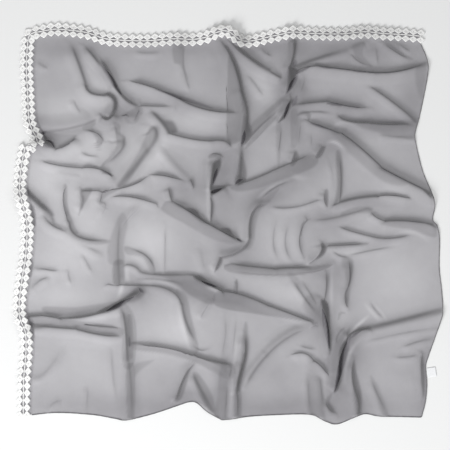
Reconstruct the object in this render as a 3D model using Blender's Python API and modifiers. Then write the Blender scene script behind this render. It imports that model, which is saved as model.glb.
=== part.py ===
"""A square chiffon hijab with guipure lace on two edges, laid flat with all its folds.

Units are metres and +Z is up. The tables give places on the laid scarf in centimetres, with x to the
right and y away from the viewer, and heights in millimetres. The origin is at the middle of the laid
scarf, on the surface that it lies on.
"""

import math
from collections import namedtuple

import bmesh
import bpy
import numpy as np

CM = 0.01
MM = 0.001

# ---- driving dimensions ----

CLOTH_THICKNESS = 1.0 * MM  # the wall that stands for the thin chiffon
SEAM_GAP = 0.3 * MM  # left between pieces that are sewn together
HEM_RADIUS = 1.0 * MM  # the rolled hem is a cord 2 mm thick
MIN_FLANK = 1.1  # cm, no flank of a fold is made narrower than this
FOLD_STEPS = 14  # straight pieces along each fold line
RESTING = 0.4 * MM  # cloth that is lower than this lies on the surface
EDGE_CALM = 2  # times that the heights along a sewn edge are evened out
PANEL_FACES = 3650  # triangles kept on one side of the panel

# The lace, in millimetres across its middle line. One motif is an outer and an inner diamond, and
# between two motifs lies an oval eyelet that a bar along the lace splits into two half-moons.
LACE_TIP = 18.5  # diamond tips
LACE_WAIST = 10.7  # where two diamonds of a row meet
EYELET_APEX = 7.6  # widest point of an eyelet
EYELET_BAR = 2.0  # half the width of the bar
PAD_MIDDLE = 10.6  # middle of a diamond, where its pad is thickest
EYELET_CORNER = 0.21  # end of an eyelet, as a share of the half motif
LACE_THICKNESS = 1.2 * MM
PAD_RISE = 0.8 * MM
LACE_LIFT = CLOTH_THICKNESS + 2.2 * SEAM_GAP  # underside of the lace over the underside of the cloth

# The cloth runs under the lace, from the inner tips to just past the eyelets.
STRIP_INNER = 2.1  # cm inside the lace's middle line
STRIP_OUTER = 0.8  # cm outside it

# Half motifs along each run of lace. A run starts and ends on a diamond's middle.
TOP_CELLS = 104
CORNER_CELLS = 4
UPPER_LEFT_CELLS = 30
LOWER_LEFT_CELLS = 74

LABEL_SIZE = (2.3, 2.4)  # cm, out from the hem and along it
LABEL_THICKNESS = 0.8 * MM
LABEL_CURL = 2.5 * MM

# ---- edges of the laid scarf, cm ----

Place = namedtuple("Place", "x y")

LACE_CORNER = Place(-50.4, 48.0)  # the lace turns round this point

# Middle line of the lace along the top, from left to right.
LACE_TOP = [
    Place(-50.4, 50.1),
    Place(-48.5, 50.45),
    Place(-46.0, 50.9),
    Place(-43.5, 50.85),
    Place(-38.0, 50.2),
    Place(-35.5, 49.5),
    Place(-33.3, 48.7),
    Place(-30.5, 48.2),
    Place(-22.5, 47.9),
    Place(-15.0, 48.4),
    Place(-9.5, 48.3),
    Place(-6.0, 48.9),
    Place(-4.0, 49.8),
    Place(-2.0, 50.4),
    Place(-0.5, 50.2),
    Place(1.0, 49.2),
    Place(2.5, 48.1),
    Place(4.2, 47.75),
    Place(7.0, 48.1),
    Place(10.0, 48.9),
    Place(13.0, 49.5),
    Place(16.5, 50.1),
    Place(22.0, 49.8),
    Place(29.0, 49.7),
    Place(35.0, 50.25),
    Place(39.5, 49.8),
    Place(45.0, 49.5),
    Place(49.6, 49.1),
]

# Middle line of the lace down the left, from the corner to the pleat.
LACE_UPPER_LEFT = [
    Place(-52.5, 48.0),
    Place(-52.8, 44.0),
    Place(-52.9, 40.0),
    Place(-52.6, 35.0),
    Place(-52.4, 30.0),
    Place(-52.1, 27.0),
    Place(-51.4, 24.9),
    Place(-50.4, 23.1),
    Place(-49.8, 21.2),
]

# Middle line of the lace from below the pleat to the lower corner.
LACE_LOWER_LEFT = [
    Place(-53.2, 20.2),
    Place(-54.0, 16.5),
    Place(-54.5, 12.5),
    Place(-54.6, 9.0),
    Place(-53.4, 4.0),
    Place(-52.7, 0.0),
    Place(-52.8, -4.0),
    Place(-53.2, -9.0),
    Place(-54.0, -14.0),
    Place(-54.7, -19.5),
    Place(-54.7, -23.0),
    Place(-54.0, -25.5),
    Place(-53.1, -27.8),
    Place(-53.0, -33.0),
    Place(-53.5, -39.0),
    Place(-53.7, -45.0),
    Place(-53.7, -49.3),
]

# The hem down the right, from the lace to the lower corner.
HEM_RIGHT = [
    Place(49.75, 46.9),
    Place(51.0, 43.5),
    Place(51.4, 40.5),
    Place(50.8, 36.0),
    Place(50.0, 32.0),
    Place(49.0, 27.5),
    Place(47.95, 23.7),
    Place(48.5, 20.0),
    Place(50.0, 14.0),
    Place(52.2, 8.7),
    Place(53.1, 5.2),
    Place(52.6, 1.4),
    Place(53.8, -0.3),
    Place(54.4, -4.0),
    Place(54.3, -11.0),
    Place(54.9, -16.5),
    Place(55.2, -22.0),
    Place(54.6, -25.0),
    Place(52.9, -30.0),
    Place(51.3, -34.7),
    Place(50.8, -37.0),
    Place(51.1, -41.5),
    Place(50.7, -46.0),
    Place(49.7, -49.9),
]

# The hem along the bottom, from left to right.
HEM_BOTTOM = [
    Place(-51.6, -49.1),
    Place(-45.0, -48.7),
    Place(-36.0, -49.2),
    Place(-30.0, -50.2),
    Place(-26.8, -50.6),
    Place(-20.0, -49.0),
    Place(-14.0, -47.0),
    Place(-10.5, -45.9),
    Place(-8.5, -46.2),
    Place(-6.0, -48.3),
    Place(-2.8, -50.2),
    Place(-1.0, -50.5),
    Place(6.0, -49.6),
    Place(17.0, -49.1),
    Place(21.5, -49.3),
    Place(25.0, -51.0),
    Place(28.2, -51.6),
    Place(34.5, -49.1),
    Place(39.0, -49.6),
    Place(49.7, -49.9),
]

LABEL_PLACE = Place(51.2, -38.4)  # middle of the label's sewn end
LABEL_TURN = 8.0  # degrees, anticlockwise from pointing right

# ---- folds ----
# A fold is a smooth ridge over the line through its start, middle and end places, in cm. Its crest
# is `height` mm high. The gentle side is `wide` cm across and lies on the right hand, going from start
# to end. The steep side is `steep` cm across and lies on the left hand. `first` and `last` are the
# shares of the height left at the two ends.

Fold = namedtuple("Fold", "x0 y0 x1 y1 x2 y2 height wide steep first last")

TOP_LEFT_FOLDS = [
    Fold(-41.5, 47.5, -39.2, 42.0, -37.2, 36.0, 8, 2.5, 1.2, 0.2, 1.0),
    Fold(-37.2, 36.0, -35.5, 34.2, -31.5, 33.9, 9, 2.5, 1.0, 1.0, 1.0),
    Fold(-31.5, 33.9, -29.6, 31.8, -30.8, 28.3, 10, 2.0, 1.2, 1.0, 0.6),
    Fold(-33.3, 28.6, -32.0, 27.6, -30.8, 28.3, 8, 1.2, 0.8, 0.2, 1.0),
    Fold(-38.0, 46.5, -34.2, 41.8, -29.8, 36.0, 14, 3.0, 1.3, 0.4, 1.0),
    Fold(-29.8, 36.0, -27.3, 33.0, -24.5, 31.2, 12, 2.0, 1.1, 1.0, 0.8),
    Fold(-24.5, 31.2, -20.0, 31.0, -15.2, 31.0, 6, 1.6, 0.7, 0.9, 0.5),
    Fold(-15.0, 32.0, -13.9, 31.0, -14.6, 28.8, 5, 1.0, 0.7, 0.4, 0.3),
    Fold(-26.8, 37.6, -20.5, 35.7, -13.0, 32.9, 11, 2.5, 1.0, 0.3, 1.0),
    Fold(-13.0, 32.9, -6.0, 30.3, 2.5, 29.4, 12, 2.5, 1.1, 1.0, 0.5),
    Fold(-35.0, 27.8, -40.0, 25.6, -49.5, 24.7, 6, 3.0, 2.0, 0.4, 1.0),
    Fold(-50.5, 26.0, -48.3, 22.8, -45.4, 20.0, 14, 2.5, 1.2, 1.0, 0.5),
    Fold(-45.2, 19.7, -42.3, 20.8, -39.5, 23.2, 8, 2.0, 0.9, 0.8, 0.2),
    Fold(-38.0, 24.8, -34.5, 24.0, -33.0, 22.0, 5, 2.5, 0.8, 0.3, 0.5),
    Fold(-39.0, 19.5, -36.5, 18.1, -33.0, 18.4, 4, 1.2, 0.8, 0.2, 0.3),
    Fold(-27.8, 23.0, -28.2, 19.3, -33.3, 15.2, 8, 2.0, 1.0, 0.4, 0.6),
    Fold(-29.8, 26.0, -29.3, 23.5, -29.6, 21.0, 4, 1.5, 1.0, 0.3, 0.2),
    Fold(-20.7, 26.2, -18.9, 23.5, -21.5, 19.0, 8, 2.0, 1.3, 0.3, 1.0),
    Fold(-21.5, 19.0, -24.8, 14.8, -28.8, 10.3, 10, 2.2, 1.4, 1.0, 0.8),
    Fold(-25.2, 45.3, -21.5, 44.9, -18.0, 45.2, 3.5, 1.5, 1.0, 0.2, 0.2),
    Fold(-50.3, 42.9, -48.6, 41.8, -47.0, 40.3, 3, 1.5, 0.8, 0.5, 0.1),
    Fold(-40.6, 33.0, -39.7, 30.6, -38.0, 28.8, 4, 1.5, 1.0, 0.2, 0.2),
    Fold(-23.0, 30.8, -24.0, 28.5, -25.3, 26.3, 6, 2.0, 1.2, 0.8, 0.2),
    Fold(-29.0, 28.2, -26.0, 29.2, -23.3, 30.5, 4, 1.5, 0.7, 0.2, 0.8),
]

TOP_MIDDLE_FOLDS = [
    Fold(-11.9, 46.5, -11.2, 41.0, -10.6, 35.2, 5, 2.8, 0.8, 1.0, 0.2),
    Fold(-21.2, 30.2, -18.0, 27.2, -15.8, 24.0, 8, 2.0, 1.5, 0.3, 1.0),
    Fold(-15.8, 24.0, -10.0, 22.8, -5.0, 22.0, 9, 2.2, 1.0, 1.0, 1.0),
    Fold(-5.0, 22.0, -1.0, 21.8, 1.0, 20.4, 8, 2.0, 0.9, 1.0, 0.3),
    Fold(-2.4, 48.5, 0.6, 42.5, 3.0, 34.5, 14, 3.0, 1.3, 0.7, 1.0),
    Fold(3.0, 34.5, 4.1, 28.5, 3.1, 21.3, 14, 2.8, 1.4, 1.0, 0.8),
    Fold(3.1, 21.3, 2.6, 16.0, 1.5, 10.4, 12, 1.4, 2.3, 0.8, 0.8),
    Fold(-0.5, 42.0, -0.4, 33.0, -0.5, 20.0, 3.5, 1.5, 0.8, 0.2, 0.6),
    Fold(0.8, 48.3, 4.5, 44.0, 10.0, 40.3, 12, 2.2, 1.5, 1.0, 0.8),
    Fold(10.0, 40.3, 12.0, 39.0, 14.0, 38.0, 9, 1.6, 0.9, 0.8, 0.3),
    Fold(4.0, 40.0, 6.7, 36.3, 9.0, 33.0, 4, 1.6, 1.0, 0.2, 0.2),
    Fold(8.5, 46.6, 9.4, 45.0, 11.3, 43.8, 4, 1.5, 0.8, 0.6, 0.1),
    Fold(17.1, 48.5, 16.7, 44.5, 15.6, 40.8, 13, 1.8, 1.2, 0.9, 1.0),
    Fold(15.6, 40.8, 16.0, 37.5, 14.6, 34.0, 14, 2.0, 1.6, 1.0, 0.6),
    Fold(16.3, 32.8, 15.2, 30.0, 12.7, 26.7, 13, 1.8, 1.0, 0.5, 0.4),
    Fold(13.0, 30.2, 8.0, 25.6, 4.0, 21.5, 6, 1.3, 1.2, 0.5, 0.8),
    Fold(11.5, 28.0, 8.0, 23.6, 5.0, 20.5, 4, 1.0, 0.8, 0.3, 0.5),
]

TOP_RIGHT_FOLDS = [
    Fold(16.3, 40.8, 22.0, 43.0, 30.0, 45.4, 8, 1.6, 1.6, 0.9, 0.5),
    Fold(30.0, 45.4, 33.0, 47.0, 35.0, 48.0, 5, 1.5, 1.5, 0.5, 0.5),
    Fold(15.0, 37.8, 17.5, 40.0, 22.5, 41.4, 12, 2.5, 0.9, 0.8, 1.0),
    Fold(22.5, 41.4, 30.0, 40.4, 37.0, 39.6, 10, 2.5, 1.0, 1.0, 1.0),
    Fold(37.0, 39.6, 44.0, 40.0, 51.2, 42.3, 11, 2.2, 1.0, 1.0, 1.0),
    Fold(31.5, 45.2, 33.0, 43.0, 36.5, 41.2, 3.5, 1.5, 0.9, 0.2, 0.2),
    Fold(38.0, 46.5, 38.3, 43.8, 38.6, 41.0, 3, 1.2, 0.8, 0.2, 0.2),
    Fold(40.0, 48.0, 43.0, 45.2, 47.0, 43.2, 5, 1.5, 0.9, 0.7, 0.2),
    Fold(43.5, 47.8, 45.3, 46.2, 47.0, 45.0, 4, 1.2, 0.8, 0.6, 0.2),
    Fold(19.8, 40.5, 19.3, 37.0, 17.8, 33.5, 5, 1.8, 1.0, 0.3, 0.4),
    Fold(17.0, 31.3, 21.0, 31.9, 25.3, 32.2, 8, 1.6, 1.1, 0.5, 1.0),
    Fold(25.3, 32.2, 30.5, 30.9, 36.5, 30.2, 8, 1.6, 0.9, 1.0, 0.2),
    Fold(28.0, 28.8, 31.0, 27.2, 36.0, 26.7, 10, 1.5, 1.0, 0.3, 1.0),
    Fold(36.0, 26.7, 41.0, 26.3, 47.0, 26.4, 11, 3.0, 1.2, 1.0, 0.8),
    Fold(38.0, 24.2, 42.0, 23.2, 47.5, 23.0, 4, 1.0, 1.5, 0.2, 0.8),
    Fold(35.5, 36.6, 41.0, 33.0, 48.3, 27.2, 8, 1.6, 1.1, 0.3, 0.9),
    Fold(19.5, 27.0, 24.0, 25.4, 29.0, 23.6, 9, 2.2, 1.0, 0.4, 1.0),
    Fold(29.0, 23.6, 34.0, 19.7, 39.5, 14.6, 12, 3.0, 1.2, 1.0, 1.0),
    Fold(39.5, 14.6, 46.0, 11.2, 52.3, 8.3, 13, 3.0, 1.1, 1.0, 1.0),
    Fold(17.8, 28.7, 21.0, 29.5, 27.5, 29.1, 5, 1.0, 0.9, 0.4, 0.3),
    Fold(26.0, 21.5, 28.0, 21.1, 29.6, 18.8, 4, 1.2, 1.0, 0.4, 0.2),
    Fold(24.6, 20.2, 23.4, 19.0, 22.2, 17.6, 9, 1.5, 0.9, 0.3, 0.6),
    Fold(16.8, 19.5, 16.6, 17.5, 15.6, 15.6, 9, 1.3, 0.9, 0.3, 0.6),
    Fold(18.4, 28.0, 18.2, 24.0, 17.5, 20.0, 4, 1.0, 0.8, 0.4, 0.3),
    Fold(21.8, 26.0, 21.3, 23.0, 21.0, 20.0, 3.5, 1.0, 0.8, 0.3, 0.3),
    Fold(13.5, 26.0, 13.2, 22.0, 12.5, 17.5, 4, 1.4, 0.9, 0.2, 0.2),
]

MIDDLE_LEFT_FOLDS = [
    Fold(-49.8, 17.1, -44.5, 15.7, -38.0, 15.0, 6, 1.8, 0.8, 0.2, 0.9),
    Fold(-38.0, 15.0, -33.5, 14.5, -29.9, 12.2, 8, 1.8, 0.8, 0.9, 0.6),
    Fold(-46.0, 14.3, -42.0, 13.6, -37.0, 13.0, 3, 1.2, 0.8, 0.2, 0.2),
    Fold(-38.6, 9.0, -33.5, 9.2, -28.3, 9.7, 6, 1.4, 0.9, 0.8, 1.0),
    Fold(-28.3, 9.7, -25.0, 10.6, -21.8, 12.3, 7, 1.4, 0.8, 1.0, 0.5),
    Fold(-38.4, 9.0, -38.1, 6.0, -39.2, 2.8, 6, 1.0, 1.3, 0.8, 0.2),
    Fold(-29.5, 9.4, -32.4, 7.9, -33.6, 6.0, 6, 1.1, 0.8, 0.7, 0.8),
    Fold(-33.6, 6.0, -32.3, 4.6, -34.8, 1.0, 4, 1.1, 0.9, 0.8, 0.2),
    Fold(-31.0, 7.2, -26.0, 7.5, -19.2, 5.6, 7, 1.6, 0.7, 0.3, 0.6),
    Fold(-53.0, 9.3, -50.0, 6.4, -46.4, 2.8, 14, 2.5, 1.3, 1.0, 0.5),
    Fold(-48.2, 4.2, -46.8, 0.8, -43.0, -1.3, 7, 2.0, 1.0, 0.5, 0.8),
    Fold(-43.0, -1.3, -38.0, -4.6, -32.0, -8.5, 5, 1.6, 1.6, 0.8, 0.2),
    Fold(-42.3, 11.0, -43.3, 6.0, -41.5, 0.5, 7, 1.5, 0.9, 0.2, 1.0),
    Fold(-41.5, 0.5, -39.0, -3.0, -31.5, -4.0, 7, 1.8, 1.1, 1.0, 0.3),
    Fold(-27.6, 3.5, -27.9, -5.0, -27.5, -15.2, 5, 2.4, 0.8, 0.2, 1.0),
    Fold(-30.0, -7.0, -30.2, -11.0, -30.0, -15.0, 4, 1.0, 0.7, 0.2, 0.8),
    Fold(-22.0, 5.5, -26.0, 2.0, -28.2, -1.5, 4.5, 1.4, 1.2, 0.2, 0.6),
    Fold(-31.4, -4.0, -31.5, -6.2, -31.4, -8.6, 3, 0.8, 0.5, 0.3, 0.3),
    Fold(-38.6, -7.0, -37.0, -10.0, -35.4, -13.0, 3, 1.2, 0.8, 0.2, 0.2),
    Fold(-51.0, -10.7, -47.5, -11.4, -44.0, -11.9, 4.5, 1.4, 0.9, 0.7, 0.2),
    Fold(-51.6, -16.3, -49.5, -14.4, -46.3, -13.2, 5, 1.6, 1.0, 0.8, 0.2),
    Fold(-41.9, -11.3, -41.8, -13.4, -41.0, -15.6, 3.5, 1.1, 0.8, 0.2, 0.2),
    Fold(-27.0, -10.3, -25.0, -10.5, -22.8, -12.2, 6, 1.2, 0.8, 0.8, 1.0),
    Fold(-22.8, -12.2, -16.0, -12.6, -9.0, -13.1, 6, 1.4, 0.8, 1.0, 1.0),
    Fold(-26.5, -6.0, -21.5, -8.0, -19.6, -12.0, 5, 1.6, 0.9, 0.2, 0.4),
    Fold(-31.6, -15.2, -27.0, -15.4, -20.0, -15.6, 5, 1.4, 0.8, 0.8, 0.9),
    Fold(-20.0, -15.6, -14.8, -17.2, -12.3, -20.8, 6, 1.5, 1.0, 0.9, 1.0),
    Fold(-12.3, -20.8, -11.2, -25.5, -8.6, -31.0, 7, 1.6, 1.2, 1.0, 0.3),
    Fold(-24.0, -13.9, -18.0, -14.0, -13.0, -15.2, 5, 1.2, 0.8, 0.4, 0.4),
]

CENTRE_FOLDS = [
    Fold(-20.8, 12.9, -17.0, 12.9, -11.8, 11.4, 7, 1.6, 0.8, 0.4, 0.5),
    Fold(-18.3, 21.0, -15.0, 16.8, -10.3, 12.1, 5, 1.2, 2.0, 0.3, 0.8),
    Fold(-10.4, 12.2, -9.7, 11.0, -9.4, 9.8, 8, 1.0, 0.8, 0.4, 0.6),
    Fold(-15.8, 9.9, -15.4, 8.0, -14.9, 6.2, 8, 1.2, 0.8, 0.3, 0.8),
    Fold(-15.1, 6.2, -10.5, 3.7, -6.3, 0.9, 13, 3.0, 1.1, 0.7, 1.0),
    Fold(-6.3, 0.9, -1.8, -1.6, 3.3, -4.4, 13, 3.0, 1.0, 1.0, 0.7),
    Fold(-5.6, 18.0, -4.0, 18.8, -2.0, 18.0, 6, 1.0, 0.8, 0.4, 0.8),
    Fold(-4.9, 17.0, -4.6, 13.5, -5.2, 9.5, 13, 1.6, 1.3, 0.5, 0.9),
    Fold(-5.2, 9.5, -5.0, 5.0, -5.9, 1.0, 9, 1.6, 1.0, 0.9, 0.8),
    Fold(-5.0, 8.0, -3.0, 9.0, -0.8, 10.3, 11, 2.0, 1.0, 0.9, 0.5),
    Fold(-0.8, 10.3, 5.0, 11.7, 11.0, 14.3, 8, 3.0, 0.9, 0.6, 1.0),
    Fold(11.0, 14.3, 15.5, 16.2, 21.5, 18.7, 8, 3.0, 0.9, 1.0, 0.6),
    Fold(8.2, 6.4, 11.0, 9.4, 16.5, 11.8, 5, 1.2, 0.8, 0.5, 0.3),
    Fold(9.5, 6.3, 6.2, 2.5, 5.3, -3.5, 10, 1.5, 1.4, 0.6, 1.0),
    Fold(3.3, -5.0, 1.5, -7.5, -2.3, -8.9, 9, 1.6, 1.2, 1.0, 1.0),
    Fold(-2.3, -8.9, -3.1, -10.5, -4.0, -12.4, 8, 1.4, 0.9, 1.0, 0.4),
    Fold(0.3, -10.0, 6.0, -10.6, 12.0, -11.2, 6, 1.8, 0.8, 0.5, 1.0),
    Fold(12.0, -11.2, 16.0, -10.9, 20.5, -10.9, 7, 1.8, 0.9, 1.0, 0.6),
    Fold(12.0, -13.3, 6.0, -12.9, 0.0, -12.0, 5, 1.2, 0.8, 1.0, 0.4),
    Fold(27.0, -10.3, 21.0, -12.4, 12.0, -13.3, 5, 1.2, 0.8, 0.5, 1.0),
    Fold(-16.7, 0.3, -16.8, -6.0, -16.9, -12.4, 3, 0.8, 0.6, 0.2, 0.8),
    Fold(-9.2, -13.0, -6.0, -15.0, -2.0, -17.0, 12, 3.0, 0.9, 0.6, 0.9),
    Fold(-2.0, -17.1, 4.0, -18.0, 10.0, -20.9, 9, 3.0, 0.8, 0.9, 1.0),
    Fold(10.0, -20.9, 16.0, -23.0, 22.3, -25.6, 8, 2.6, 0.8, 1.0, 0.7),
    Fold(12.5, 2.0, 11.3, -4.0, 12.6, -9.0, 4, 1.2, 0.9, 0.2, 0.3),
    Fold(15.6, 1.0, 14.4, -4.8, 16.2, -9.6, 4.5, 1.2, 0.9, 0.2, 0.3),
    Fold(20.0, 1.0, 18.2, -3.5, 19.3, -8.5, 6, 1.2, 0.9, 0.8, 0.5),
    Fold(-7.6, -5.5, -7.2, -9.0, -6.0, -12.5, 3, 1.5, 1.5, 0.2, 0.2),
    Fold(1.8, -14.5, 2.0, -16.0, 1.8, -17.6, 6, 0.9, 0.6, 0.3, 0.8),
    Fold(10.3, 4.9, 14.5, 4.5, 19.0, 5.2, 4, 1.2, 0.6, 0.2, 0.9),
    Fold(19.0, 5.2, 22.0, 6.2, 24.5, 7.2, 4, 1.2, 0.7, 0.9, 0.3),
]

MIDDLE_RIGHT_FOLDS = [
    Fold(28.4, 18.5, 29.0, 12.0, 28.6, 5.8, 6, 2.4, 1.0, 0.3, 0.8),
    Fold(25.6, 17.5, 26.9, 12.0, 26.9, 6.0, 4, 1.0, 0.8, 0.2, 0.3),
    Fold(27.0, 5.4, 32.0, 6.9, 38.0, 7.6, 9, 1.6, 1.2, 0.8, 1.0),
    Fold(38.0, 7.6, 43.0, 7.7, 48.5, 6.5, 8, 1.5, 0.8, 1.0, 0.2),
    Fold(24.7, 8.5, 24.7, 6.6, 25.3, 4.8, 6, 1.0, 0.7, 0.3, 0.4),
    Fold(20.5, 1.3, 27.0, 2.3, 35.5, 4.4, 7, 1.4, 0.9, 0.8, 0.8),
    Fold(36.0, 4.5, 37.5, 2.6, 40.0, 1.2, 8, 1.5, 0.9, 0.5, 1.0),
    Fold(40.0, 1.2, 46.0, 1.3, 52.6, 0.4, 13, 2.5, 1.0, 1.0, 1.0),
    Fold(27.0, 0.2, 32.0, -1.9, 37.5, -3.3, 7, 1.6, 0.7, 0.3, 1.0),
    Fold(37.5, -3.3, 42.0, -3.4, 47.5, -2.5, 6, 1.4, 0.8, 1.0, 0.2),
    Fold(25.5, -5.3, 30.0, -5.0, 35.3, -4.8, 6, 1.2, 0.7, 0.8, 0.3),
    Fold(30.0, -8.0, 36.0, -6.7, 43.5, -5.3, 4, 1.2, 0.8, 0.2, 0.2),
    Fold(26.5, -6.4, 28.5, -7.9, 31.0, -8.3, 4, 1.0, 0.7, 0.6, 0.3),
    Fold(24.0, -4.6, 24.1, -6.4, 23.2, -8.0, 9, 1.2, 0.9, 0.4, 0.8),
    Fold(23.2, -8.0, 21.8, -9.4, 20.0, -10.4, 7, 1.2, 0.8, 0.8, 0.3),
    Fold(30.6, -9.0, 31.2, -13.0, 30.3, -17.0, 7, 1.5, 0.9, 0.3, 0.9),
    Fold(30.3, -17.0, 30.1, -19.5, 30.9, -21.8, 7, 1.2, 0.8, 0.9, 0.3),
    Fold(25.0, -12.0, 25.2, -16.0, 24.4, -20.5, 7, 1.3, 0.8, 0.4, 0.9),
    Fold(24.0, -20.5, 25.6, -26.0, 26.0, -32.5, 15, 2.0, 1.2, 0.8, 0.4),
    Fold(16.0, -14.0, 19.0, -18.3, 22.5, -23.0, 5, 1.2, 0.9, 0.2, 0.4),
    Fold(18.3, -14.0, 21.0, -18.0, 23.6, -22.3, 4, 1.0, 0.8, 0.2, 0.4),
]

BOTTOM_LEFT_FOLDS = [
    Fold(-53.0, -23.0, -48.5, -23.3, -44.0, -24.1, 13, 2.5, 1.6, 1.0, 0.9),
    Fold(-44.0, -24.1, -36.0, -23.2, -30.0, -21.0, 13, 2.5, 1.8, 0.9, 1.0),
    Fold(-30.0, -21.0, -26.5, -18.7, -22.8, -16.6, 14, 2.2, 1.5, 1.0, 0.4),
    Fold(-43.5, -24.2, -37.0, -25.6, -28.3, -26.6, 5, 1.3, 0.7, 0.6, 0.6),
    Fold(-52.6, -25.6, -46.0, -26.3, -40.0, -26.7, 8, 2.0, 0.9, 1.0, 1.0),
    Fold(-40.0, -26.7, -34.0, -28.2, -28.5, -28.7, 6, 1.6, 0.8, 1.0, 0.6),
    Fold(-28.0, -21.5, -26.9, -27.0, -26.4, -34.0, 10, 1.6, 1.0, 0.6, 0.9),
    Fold(-26.4, -34.0, -25.2, -42.0, -25.0, -50.4, 6, 1.6, 0.9, 0.9, 0.9),
    Fold(-51.2, -39.5, -47.5, -37.8, -43.0, -31.0, 4.5, 1.5, 1.1, 0.7, 0.1),
    Fold(-47.5, -48.2, -46.0, -46.3, -43.5, -45.4, 3, 1.2, 0.8, 0.5, 0.1),
    Fold(-37.0, -41.5, -37.0, -45.0, -37.4, -48.6, 3, 1.2, 0.9, 0.1, 0.6),
    Fold(-30.8, -31.0, -30.4, -38.0, -29.3, -46.0, 3, 1.8, 1.0, 0.3, 0.2),
]

BOTTOM_MIDDLE_FOLDS = [
    Fold(-24.3, -30.5, -17.0, -31.2, -9.0, -33.4, 7, 2.0, 0.8, 0.8, 1.0),
    Fold(-9.0, -33.4, -4.5, -35.0, 0.5, -36.3, 8, 2.0, 0.9, 1.0, 0.6),
    Fold(0.0, -39.8, -6.0, -36.5, -12.0, -34.6, 5, 1.4, 0.9, 0.8, 1.0),
    Fold(-12.0, -34.6, -18.0, -33.0, -24.3, -32.3, 5, 1.4, 0.8, 1.0, 0.6),
    Fold(0.5, -36.5, 0.3, -38.3, -0.5, -40.3, 9, 1.2, 0.8, 0.6, 0.5),
    Fold(-8.5, -35.8, -11.3, -38.8, -14.0, -45.0, 9, 1.5, 0.9, 0.5, 0.7),
    Fold(-9.6, -38.5, -8.0, -42.0, -4.6, -48.3, 9, 1.4, 2.0, 0.3, 0.9),
    Fold(3.9, -28.0, 4.2, -33.0, 3.3, -37.0, 9, 2.0, 1.0, 0.2, 1.0),
    Fold(3.3, -37.0, 2.4, -40.0, 2.0, -43.0, 12, 1.8, 1.0, 1.0, 0.8),
    Fold(2.0, -43.0, 2.2, -46.5, 2.4, -49.9, 6, 2.0, 0.9, 0.8, 0.9),
    Fold(-0.4, -41.0, -0.9, -45.5, -1.1, -50.3, 4, 1.0, 0.8, 0.3, 0.9),
    Fold(20.0, -27.0, 14.5, -29.6, 9.5, -34.0, 8, 1.2, 1.5, 0.5, 1.0),
    Fold(9.5, -34.0, 6.5, -37.7, 4.0, -42.0, 8, 1.2, 1.6, 1.0, 0.5),
    Fold(-5.0, -20.3, -6.7, -22.5, -7.8, -25.0, 5, 1.2, 1.2, 0.6, 0.2),
    Fold(-1.3, -23.0, -1.2, -29.0, -2.5, -35.5, 3.5, 1.5, 1.0, 0.2, 0.4),
    Fold(1.7, -24.0, 1.2, -30.0, 0.9, -36.0, 3, 0.8, 0.8, 0.2, 0.4),
    Fold(-10.3, -29.5, -8.0, -32.3, -5.0, -31.6, 3.5, 1.2, 0.8, 0.3, 0.2),
]

BOTTOM_RIGHT_FOLDS = [
    Fold(22.8, -25.3, 22.6, -26.5, 20.0, -27.2, 6, 1.0, 0.7, 0.5, 0.4),
    Fold(15.0, -34.2, 19.0, -33.0, 22.0, -35.3, 6, 1.4, 0.8, 0.2, 1.0),
    Fold(22.0, -35.3, 24.0, -37.0, 25.8, -39.5, 7, 1.4, 0.9, 1.0, 0.4),
    Fold(17.8, -31.2, 20.0, -31.8, 22.5, -32.2, 3.5, 1.0, 0.8, 0.2, 0.2),
    Fold(25.0, -45.8, 25.8, -47.5, 27.6, -48.9, 9, 1.2, 0.9, 0.4, 0.4),
    Fold(30.2, -29.3, 28.9, -33.5, 28.4, -38.0, 16, 2.0, 1.3, 0.9, 1.0),
    Fold(28.4, -38.0, 28.2, -41.0, 27.2, -43.8, 15, 2.0, 1.2, 1.0, 0.3),
    Fold(30.2, -29.3, 32.3, -27.5, 36.0, -26.7, 11, 2.2, 1.0, 0.9, 0.9),
    Fold(36.0, -26.7, 44.0, -24.8, 54.8, -22.0, 8, 2.0, 1.2, 0.9, 0.8),
    Fold(36.0, -28.6, 43.0, -27.0, 53.5, -25.0, 4, 1.3, 0.9, 0.2, 0.5),
    Fold(44.0, -32.0, 48.0, -30.5, 52.6, -29.3, 4, 1.3, 0.9, 0.2, 0.6),
    Fold(42.0, -34.2, 46.0, -34.2, 49.3, -33.4, 3.5, 1.2, 0.9, 0.2, 0.3),
    Fold(32.2, -34.8, 31.8, -39.5, 33.0, -44.0, 9, 1.4, 1.1, 0.3, 1.0),
    Fold(33.0, -44.0, 33.6, -46.5, 33.7, -49.2, 8, 1.5, 1.0, 1.0, 0.9),
    Fold(36.5, -40.0, 38.5, -44.2, 40.7, -49.0, 4.5, 1.8, 1.2, 0.2, 0.7),
    Fold(20.3, -39.0, 20.5, -44.0, 21.0, -48.8, 4, 1.2, 1.0, 0.2, 0.7),
    Fold(23.2, -38.5, 23.8, -43.0, 24.6, -49.5, 5, 1.2, 1.4, 0.3, 0.8),
    Fold(29.8, -26.9, 28.0, -28.8, 27.6, -31.5, 7, 1.0, 0.8, 0.3, 0.5),
    Fold(36.3, -19.8, 38.0, -22.3, 40.3, -24.5, 3, 1.0, 0.7, 0.2, 0.3),
    Fold(49.3, -33.6, 50.0, -38.0, 50.1, -44.5, 8, 2.0, 0.7, 0.6, 0.7),
]

FOLDS = (
    TOP_LEFT_FOLDS + TOP_MIDDLE_FOLDS + TOP_RIGHT_FOLDS
    + MIDDLE_LEFT_FOLDS + CENTRE_FOLDS + MIDDLE_RIGHT_FOLDS
    + BOTTOM_LEFT_FOLDS + BOTTOM_MIDDLE_FOLDS + BOTTOM_RIGHT_FOLDS
)

# ---- looks ----

Look = namedtuple("Look", "colour roughness")

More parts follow.
